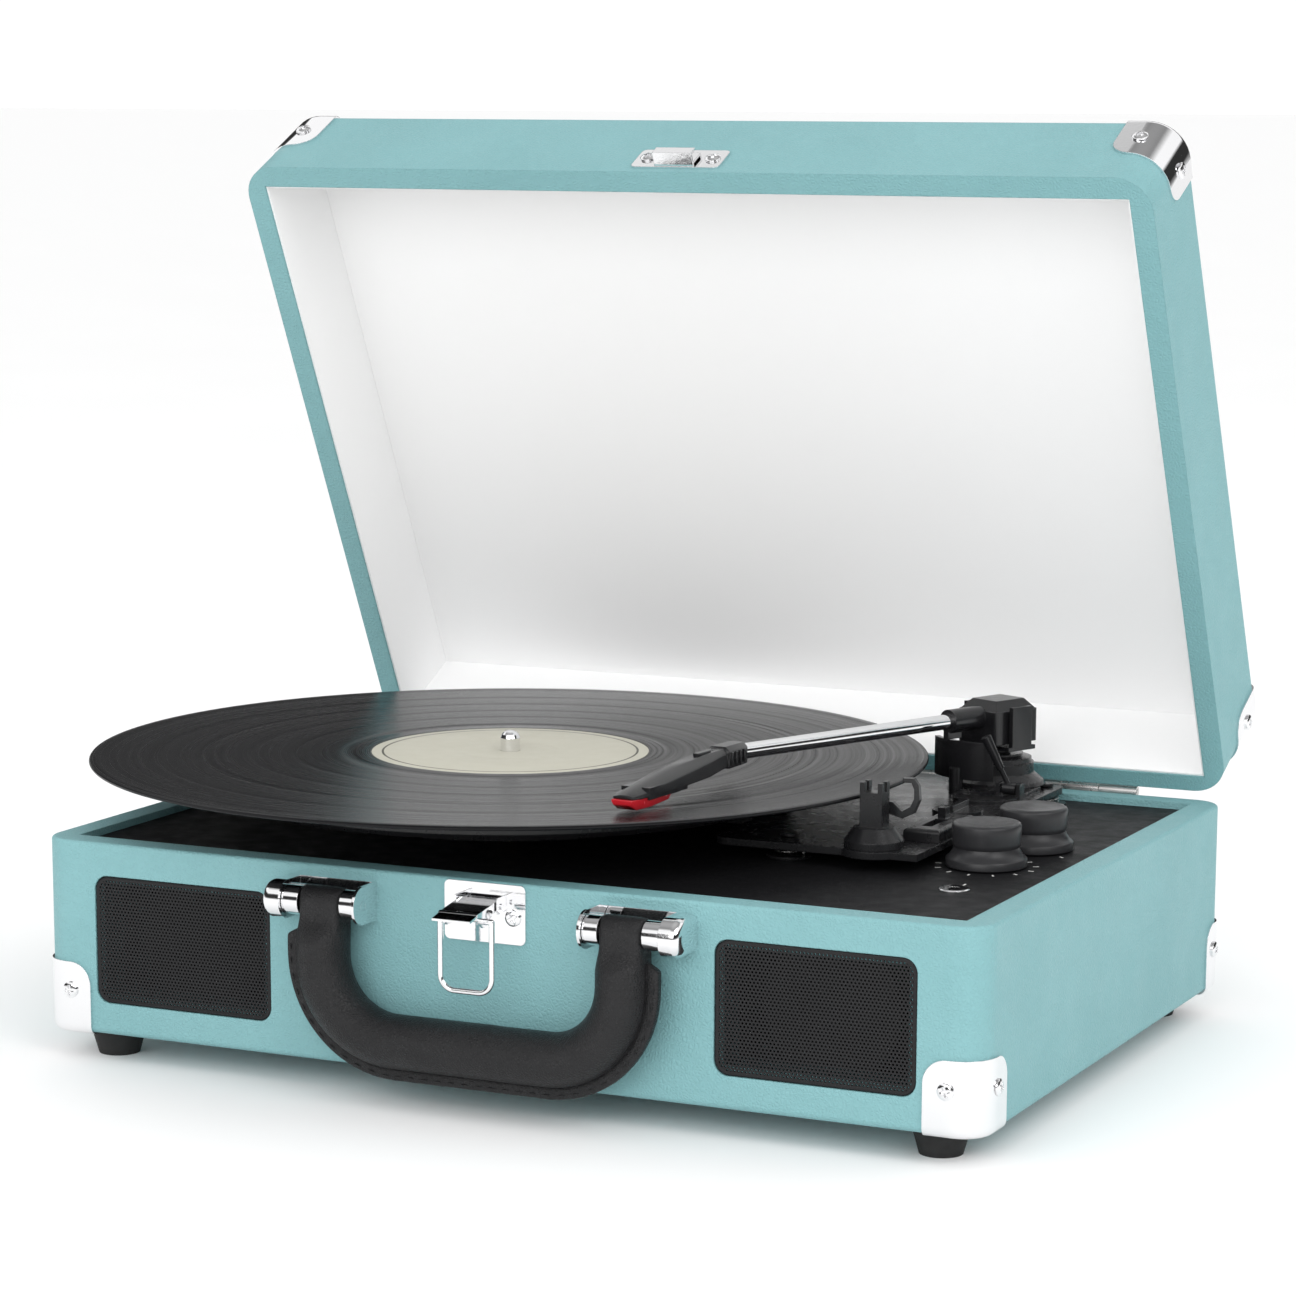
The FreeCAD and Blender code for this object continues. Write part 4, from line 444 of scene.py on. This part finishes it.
def loose_parts(mesh):
    """Groups of points of a mesh that hang together by place, as arrays."""
    points = np.array([v.co for v in mesh.vertices])
    keys = {}
    merged = []
    for index, point in enumerate(points):
        key = tuple(np.round(point, 6))
        merged.append(keys.setdefault(key, index))
    parent = list(range(len(points)))

    def root(i):
        while parent[i] != i:
            parent[i] = parent[parent[i]]
            i = parent[i]
        return i

    for index, same in enumerate(merged):
        parent[root(index)] = root(same)
    for polygon in mesh.polygons:
        first = root(polygon.vertices[0])
        for other in polygon.vertices[1:]:
            parent[root(other)] = first
    groups = {}
    for index in range(len(points)):
        groups.setdefault(root(index), []).append(index)
    return [points[group] for _, group in sorted(groups.items())]


def make_screws(node, name, body):
    verts, faces = [], []
    for number, points in enumerate(loose_parts(nodes[node].data)):
        middle = points.mean(0)
        _, _, axes = np.linalg.svd(points - middle)
        axis = axes[0]
        along = (points - middle) @ axis
        wide = np.linalg.norm((points - middle) - np.outer(along, axis), axis=1)
        if along[wide > wide.max() * 0.9].mean() < 0:
            axis, along = -axis, -along
        radius = wide.max()
        seat = along[wide > radius * 0.9].min()
        centre = (points.min(0) + points.max(0)) / 2
        centre = middle + axis * seat + (centre - middle - axis * ((centre - middle) @ axis))
        normal = Vector(axis).normalized()
        new_verts, new_faces = screw_head(Vector(centre), normal, number * 0.83, radius * 1.04, 0.0013)
        shift = len(verts)
        verts += new_verts
        faces += [tuple(i + shift for i in face) for face in new_faces]
    piece(name, verts, faces, "chrome", body, [node], crease=38)


# ---------------------------------------------------------------- speaker grilles

def make_grille(hand):
    """A sheet of fine hexagonal perforation inside a pressed rim."""
    low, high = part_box(f"speaker_grille_{hand}")
    centre_x, centre_z = (low.x + high.x) / 2, (low.z + high.z) / 2
    half_w, half_h = (high.x - low.x) / 2, (high.z - low.z) / 2
    front = low.y + 0.00012
    pitch, hole, thick = 0.00132, 0.00042, 0.0005
    row_step = pitch * math.sqrt(3) / 2
    inner_w, inner_h, corner = half_w - 0.0013, half_h - 0.0013, 0.004
    verts, faces = [], []
    rows, columns = int(half_h / row_step) + 1, int(half_w / pitch) + 1
    for row in range(-rows, rows + 1):
        for column in range(-columns, columns + 1):
            u = (column + (0.5 if row % 2 else 0.0)) * pitch
            v = row * row_step
            over_u, over_v = abs(u) - (inner_w - corner), abs(v) - (inner_h - corner)
            if abs(u) > inner_w or abs(v) > inner_h:
                continue
            if over_u > 0 and over_v > 0 and math.hypot(over_u, over_v) > corner:
                continue
            base = len(verts)
            for depth in (0.0, thick):
                for step in range(6):
                    angle = math.pi / 6 + step * math.pi / 3
                    reach = pitch / math.sqrt(3)
                    verts.append((centre_x + u + reach * math.cos(angle), front + depth,
                                  centre_z + v + reach * math.sin(angle)))
                for step in range(6):
                    angle = math.pi / 6 + step * math.pi / 3
                    verts.append((centre_x + u + hole * math.cos(angle), front + depth,
                                  centre_z + v + hole * math.sin(angle)))
            for step in range(6):
                n = (step + 1) % 6
                faces.append((base + step, base + n, base + 6 + n, base + 6 + step))
                faces.append((base + 12 + step, base + 18 + step, base + 18 + n, base + 12 + n))
                faces.append((base + 6 + step, base + 6 + n, base + 18 + n, base + 18 + step))
    piece(f"grille_mesh_{hand}", verts, faces, "grille", "base", smooth=False)

    def outline(inset, radius, depth):
        points = []
        for quarter in range(4):
            for step in range(9):
                angle = math.pi / 2 * (quarter + step / 8)
                sx = 1 if quarter in (0, 3) else -1
                sz = 1 if quarter in (0, 1) else -1
                points.append((centre_x + sx * (half_w - inset - radius) + radius * math.cos(angle),
                               front + depth,
                               centre_z + sz * (half_h - inset - radius) + radius * math.sin(angle)))
        return points

    rings = [outline(0.0001, 0.005, 0.0009), outline(0.0001, 0.005, 0.00025),
             outline(0.0003, 0.0048, 0.00005), outline(0.0006, 0.0046, -0.0001),
             outline(0.0011, 0.0042, -0.0001), outline(0.0015, 0.0039, 0.00008),
             outline(0.0016, 0.0038, 0.0009)]
    rim = [point for ring in rings for point in ring]
    around = len(rings[0])
    rim_faces = rings_to_faces(len(rings), around, caps=False)
    last = (len(rings) - 1) * around
    rim_faces += [(last + s, last + (s + 1) % around, (s + 1) % around, s) for s in range(around)]
    obj = piece(f"grille_rim_{hand}", rim, rim_faces, "grille", "base", crease=45)
    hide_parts(f"speaker_grille_{hand}")


# ---------------------------------------------------------------- carrying handle

PIN_Y, PIN_Z = -0.1345, 0.0675
LOOP_ABOVE = 0.0057
LOOP_HALF_X = 0.0077
LOOP_HALF_Y = 0.0058
LEG_STEPS, BEND_STEPS, BAR_STEPS = 26, 22, 34
STITCH_OUT, STITCH_SIDE, STITCH_START = 0.0115, 0.00185, 0.0155
STITCH_SPACING, STITCH_LENGTH, STITCH_THICK = 0.0034, 0.0024, 0.00033
GRIP_Y = -0.136
HANDLE_HALF = 0.0555
GRIP_BEND = 0.027
GRIP_BOTTOM = 0.023
GRIP_RADIUS = 0.0092
FLANGE = [(0.0087, -0.0016), (0.0090, -0.0012), (0.0094, -0.0018), (0.0126, -0.0018), (0.0132, -0.0011),
          (0.0132, 0.0011), (0.0126, 0.0018), (0.0094, 0.0018), (0.0090, 0.0012), (0.0087, 0.0016)]


def grip_path():
    """Points and outward directions along the U, from left pin to right pin."""
    points = []
    arc_z = GRIP_BOTTOM + GRIP_BEND
    arc_x = HANDLE_HALF - GRIP_BEND
    top = PIN_Z + LOOP_ABOVE
    for step in range(LEG_STEPS):
        points.append((-HANDLE_HALF, top + (arc_z - top) * step / LEG_STEPS, -1.0, 0.0))
    for step in range(BEND_STEPS):
        angle = math.pi + (math.pi / 2) * step / BEND_STEPS
        points.append((-arc_x + GRIP_BEND * math.cos(angle), arc_z + GRIP_BEND * math.sin(angle),
                       math.cos(angle), math.sin(angle)))
    for step in range(BAR_STEPS):
        points.append((-arc_x + 2 * arc_x * step / BAR_STEPS, GRIP_BOTTOM, 0.0, -1.0))
    for step in range(BEND_STEPS):
        angle = -math.pi / 2 + (math.pi / 2) * step / BEND_STEPS
        points.append((arc_x + GRIP_BEND * math.cos(angle), arc_z + GRIP_BEND * math.sin(angle),
                       math.cos(angle), math.sin(angle)))
    for step in range(LEG_STEPS + 1):
        points.append((HANDLE_HALF, arc_z + (top - arc_z) * step / LEG_STEPS, 1.0, 0.0))
    return points


def smoothstep(low, high, value):
    """Rises smoothly from 0 at low to 1 at high."""
    t = min(1.0, max(0.0, (value - low) / (high - low)))
    return t * t * (3 - 2 * t)


def make_handle():
    """Padded leather over a strap: a round bar with a sewn flange outside, flat loops round the pins."""
    path = grip_path()
    angles = [math.radians(14 + 332 * step / 44) for step in range(45)]
    around = len(angles) + len(FLANGE)
    verts = []
    for x, z, nx, nz in path:
        below_pin = PIN_Z - z
        round_share = smoothstep(0.004, 0.013, below_pin)
        flange_share = smoothstep(0.0085, 0.0115, below_pin)
        y_half = LOOP_HALF_Y * (1 - round_share) + GRIP_RADIUS * round_share
        if below_pin < 0:
            y_half = math.sqrt(max(LOOP_HALF_Y ** 2 - below_pin ** 2, 0.0008 ** 2))
        x_half = LOOP_HALF_X * (1 - round_share) + GRIP_RADIUS * round_share
        centre_y = PIN_Y * (1 - round_share) + GRIP_Y * round_share
        power = 0.42 + 0.58 * round_share
        for angle in angles:
            c, s = math.cos(angle), math.sin(angle)
            out = x_half * math.copysign(abs(c) ** power, c)
            across = y_half * math.copysign(abs(s) ** power, s)
            place = Vector((x + nx * out, centre_y + across, z + nz * out))
            grain = noise.fractal(place * 900, 0.8, 2.1, 3) * 0.00004
            fold = noise.noise(Vector((x * 90, place.y * 260, z * 90))) * 0.00010 * round_share
            verts.append(place + Vector((nx * c, s, nz * c)) * (grain + fold))
        for flange_out, flange_across in FLANGE:
            out = x_half * (1 - flange_share) + flange_out * flange_share
            across = flange_across * (0.6 + 0.4 * flange_share)
            verts.append(Vector((x + nx * out, centre_y + across, z + nz * out)))
    faces = rings_to_faces(len(path), around)
    piece("handle_cover", verts, faces, "leather", "handle", ["handle_grip"], levels=2)
    make_stitches(path)


def make_stitches(path):
    """Two rows of short stitches, one on each face of the sewn flange."""
    verts, faces = [], []
    travelled = 0.0
    previous = None
    for x, z, nx, nz in path:
        place = Vector((x + nx * STITCH_OUT, 0, z + nz * STITCH_OUT))
        if previous is not None:
            travelled += (place - previous).length
        previous = place
        if PIN_Z - z < STITCH_START or travelled < STITCH_SPACING:
            continue
        travelled = 0.0
        along = Vector((-nz, 0, nx))
        for side in (-1, 1):
            centre = Vector((place.x, GRIP_Y + side * STITCH_SIDE, place.z))
            base = len(verts)
            for share in (-1, -0.7, 0, 0.7, 1):
                swell = STITCH_THICK * math.sqrt(max(1 - share * share, 0.08))
                for step in range(6):
                    angle = step * math.pi / 3
                    verts.append(centre + along * share * STITCH_LENGTH / 2
                                 + Vector((nx, 0, nz)) * swell * math.cos(angle)
                                 + Vector((0, 1, 0)) * swell * math.sin(angle))
            faces += [tuple(i + base for i in face) for face in rings_to_faces(5, 6)]
    piece("handle_stitches", verts, faces, "leather", "handle")


# ---------------------------------------------------------------- knobs

def make_knob(name, body):
    low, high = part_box(name)
    x, y = (low.x + high.x) / 2, (low.y + high.y) / 2
    skirt = (high.x - low.x) / 2
    base = high.z - 0.015
    top = high.z
    profile = [(0.003, base - 0.0085), (0.003, base), (skirt - 0.0003, base), (skirt, base + 0.0003),
               (skirt, base + 0.0026), (skirt - 0.0004, base + 0.0031), (skirt - 0.0012, base + 0.0036),
               (skirt - 0.0024, base + 0.0055), (skirt - 0.0027, base + 0.0066),
               (skirt - 0.0023, base + 0.0071), (skirt - 0.0022, base + 0.0082),
               (skirt - 0.0021, base + 0.0118), (skirt - 0.0021, top - 0.0012),
               (skirt - 0.0024, top - 0.0005), (skirt - 0.003, top - 0.0001), (skirt - 0.0037, top),
               (skirt - 0.0045, top - 0.00025), (0.006, top - 0.0004), (0.0001, top - 0.00045)]
    around = 192
    verts, faces = lathe(profile, x, y, around)
    faces.append(tuple(range(around)))
    faces.append(tuple((len(profile) - 1) * around + step for step in range(around)))
    piece(f"{name}_cap", verts, faces, "knob", body, [name], crease=42)


def make_marks():
    """Plain tick marks printed on the deck round the knobs and beside the socket."""
    deck_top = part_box("deck_plate")[1].z
    verts, faces = [], []

    def tick(x, y, angle, length, width):
        along = Vector((math.cos(angle), math.sin(angle), 0))
        side = Vector((-along.y, along.x, 0))
        base = len(verts)
        for height in (-0.00002, 0.00005):
            for a, b in ((-1, -1), (1, -1), (1, 1), (-1, 1)):
                middle = Vector((x, y, deck_top + height))
                verts.append(middle + along * a * length / 2 + side * b * width / 2)
        faces.extend(tuple(i + base for i in face) for face in
                     [(0, 1, 2, 3), (4, 5, 6, 7), (0, 1, 5, 4), (1, 2, 6, 5), (2, 3, 7, 6), (3, 0, 4, 7)])

    for node, start, end, count in (("volume_knob", 130, 410, 11), ("function_knob", 215, 325, 3)):
        low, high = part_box(node)
        x, y = (low.x + high.x) / 2, (low.y + high.y) / 2
        for index in range(count):
            angle = math.radians(start + (end - start) * index / (count - 1))
            reach = 0.0168
            tick(x + reach * math.cos(angle), y + reach * math.sin(angle), angle, 0.0020, 0.0006)
    low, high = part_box("headphone_socket")
    tick((low.x + high.x) / 2, high.y + 0.004, math.pi / 2, 0.003, 0.0006)
    piece("deck_marks", verts, faces, "print", "base", smooth=False)


# ---------------------------------------------------------------- headshell and stylus

PIVOT = Vector((0.0966, 0.0955, 0.109))
TUBE_END = 0.130
TUBE_ANGLE = math.radians(-113.5)
HEAD_ANGLE = TUBE_ANGLE + math.radians(19.1)
HEAD_ORIGIN = PIVOT + Vector((math.cos(TUBE_ANGLE), math.sin(TUBE_ANGLE), 0)) * TUBE_END

# Sections of the shell: reach, then half width and height of crown, shoulder and skirt. Of the stylus: reach,
# half width, top and bottom. All in millimetres.
SHELL = [(-1.5, 2.2, 3.6, 3.6, 2.0, 3.6, -3.2), (0.0, 2.6, 3.8, 4.3, 2.2, 4.3, -3.4),
         (13.0, 2.8, 3.9, 4.6, 2.2, 4.6, -3.6), (13.6, 2.4, 3.3, 3.9, 1.8, 3.9, -3.2),
         (17.0, 2.4, 3.2, 4.0, 1.7, 4.0, -3.4), (27.0, 2.3, 3.0, 4.9, 1.0, 5.0, -4.2),
         (48.0, 2.1, 1.7, 5.6, -0.7, 5.8, -4.6), (64.0, 2.0, -0.5, 5.5, -2.2, 5.6, -4.7),
         (74.0, 1.9, -2.2, 4.9, -3.3, 5.0, -4.7), (78.0, 1.4, -3.3, 3.9, -3.8, 4.0, -4.6)]
STYLUS = [(49.5, 3.2, -4.6, -6.1), (54.0, 4.3, -4.6, -7.9), (66.0, 4.6, -4.6, -8.5), (75.5, 4.5, -4.6, -8.3),
          (79.0, 3.9, -4.6, -6.4), (79.2, 3.8, -4.6, -5.2)]


def on_head(reach, side, height):
    """A point given along the headshell, to its side and above its axis, in millimetres."""
    along = Vector((math.cos(HEAD_ANGLE), math.sin(HEAD_ANGLE), 0))
    across = Vector((-along.y, along.x, 0))
    return HEAD_ORIGIN + (along * reach + across * side + Vector((0, 0, height))) * 0.001


def head_block(name, start, end, side, half, low, high):
    verts = [on_head(u, side + v, w) for u in (start, end) for v, w in
             ((-half, low), (half, low), (half, high), (-half, high))]
    piece(name, verts, rings_to_faces(2, 4), "gloss", "tonearm", bevel=0.00025, crease=35)


def make_head():
    verts = []
    for reach, crown, top, shoulder, middle, skirt, low in SHELL:
        ring = [(-skirt, low), (skirt, low), (shoulder, middle), (crown, top), (-crown, top),
                (-shoulder, middle)]
        verts += [on_head(reach, v, w) for v, w in ring]
    piece("head_cover", verts, rings_to_faces(len(SHELL), 6), "gloss", "tonearm",
          ["headshell"], bevel=0.0003, crease=32)
    for number in range(4):
        start = 1.6 + number * 3.0
        for hand, side in (("left", 4.5), ("right", -4.5)):
            head_block(f"head_rib_{hand}_{number}", start, start + 1.6, side, 0.5, -2.6, 2.0)
    head_block("head_tab", 20.0, 29.0, 0.0, 1.1, 2.6, 3.7)
    verts = []
    for reach, half, top, low in STYLUS:
        ring = [(-half, top), (-half, (top + low) / 2), (-half * 0.82, low), (half * 0.82, low),
                (half, (top + low) / 2), (half, top)]
        verts += [on_head(reach, v, w) for v, w in ring]
    piece("stylus_cover", verts, rings_to_faces(len(STYLUS), 6), "red", "tonearm",
          ["stylus_holder"], bevel=0.0003, crease=32)


make_head()
make_record()
make_screws("case_screws", "case_screw_heads", "base")
make_screws("lid_screws", "lid_screw_heads", "lid")
make_grille("left")
make_grille("right")
make_handle()
make_knob("volume_knob", "volume")
make_knob("function_knob", "function")
make_marks()


# ---------------------------------------------------------------- floor, light and camera

def make_stage():
    """A wide pale floor; the room beyond it is plain white."""
    verts = [(-60, -60, 0), (60, -60, 0), (60, 60, 0), (-60, 60, 0)]
    faces = [(0, 1, 2, 3)]
    mesh = bpy.data.meshes.new("floor")
    mesh.from_pydata(verts, [], faces)
    floor = bpy.data.objects.new("floor", mesh)
    bpy.context.collection.objects.link(floor)
    look = Look("floor_paper", (0.95, 0.95, 0.95), 0.75, spec=0.1)
    look.rough(look.noise(4, 2), 0.65, 0.75)
    mesh.materials.append(look.mat)


def area_light(name, place, target, size, power):
    light = bpy.data.lights.new(name, "AREA")
    light.shape = "RECTANGLE"
    light.size, light.size_y = size
    light.energy = power
    obj = bpy.data.objects.new(name, light)
    bpy.context.collection.objects.link(obj)
    obj.location = place
    obj.rotation_euler = (Vector(target) - Vector(place)).to_track_quat("-Z", "Y").to_euler()


# Brightness that shiny surfaces see, by the height of the direction they reflect.
ROOM = [(0.0, 0.95), (0.05, 0.30), (0.12, 0.03), (0.40, 0.03), (0.47, 1.0), (0.70, 1.0), (0.80, 0.25),
        (1.0, 0.5)]


def make_light():
    """An even white room. Shiny surfaces see it with a dark band low down and a bright one overhead."""
    world = bpy.data.worlds.new("studio")
    world.use_nodes = True
    tree = world.node_tree
    background = tree.nodes["Background"]
    path = tree.nodes.new("ShaderNodeLightPath")
    split = tree.nodes.new("ShaderNodeSeparateXYZ")
    tree.links.new(tree.nodes.new("ShaderNodeTexCoord").outputs["Generated"], split.inputs[0])
    ramp = tree.nodes.new("ShaderNodeValToRGB")
    while len(ramp.color_ramp.elements) < len(ROOM):
        ramp.color_ramp.elements.new(0.5)
    for element, (place, value) in zip(ramp.color_ramp.elements, ROOM):
        element.position = place
        element.color = (value, value, value, 1)
    tree.links.new(split.outputs["Z"], ramp.inputs["Fac"])
    mix = tree.nodes.new("ShaderNodeMix")
    mix.data_type = "RGBA"
    mix.inputs[6].default_value = (1, 1, 1, 1)
    tree.links.new(path.outputs["Is Glossy Ray"], mix.inputs[0])
    tree.links.new(ramp.outputs["Color"], mix.inputs[7])
    tree.links.new(mix.outputs[2], background.inputs["Color"])
    background.inputs["Strength"].default_value = 1.07
    bpy.context.scene.world = world
    area_light("key", (1.7, -0.9, 1.5), (0, 0, 0.08), (1.4, 1.4), 12)
    area_light("front", (0.1, -1.7, 0.75), (0, 0.18, 0.22), (1.6, 0.8), 9)
    bpy.context.scene.view_settings.view_transform = "Standard"


def make_camera():
    data = bpy.data.cameras.new("camera")
    camera = bpy.data.objects.new("camera", data)
    bpy.context.collection.objects.link(camera)
    place, target = Vector((0.5906, -1.2493, 0.3332)), Vector((0, 0, 0.070))
    camera.location = place
    roll = math.radians(0.167)
    camera.rotation_euler = ((target - place).to_track_quat("-Z", "Y").to_matrix()
                             @ Matrix.Rotation(roll, 3, "Z")).to_euler()
    data.sensor_width = 36.0
    data.lens = 109.3
    data.shift_x = -0.0002
    data.shift_y = 0.14875
    bpy.context.scene.camera = camera


make_stage()
make_light()
make_camera()
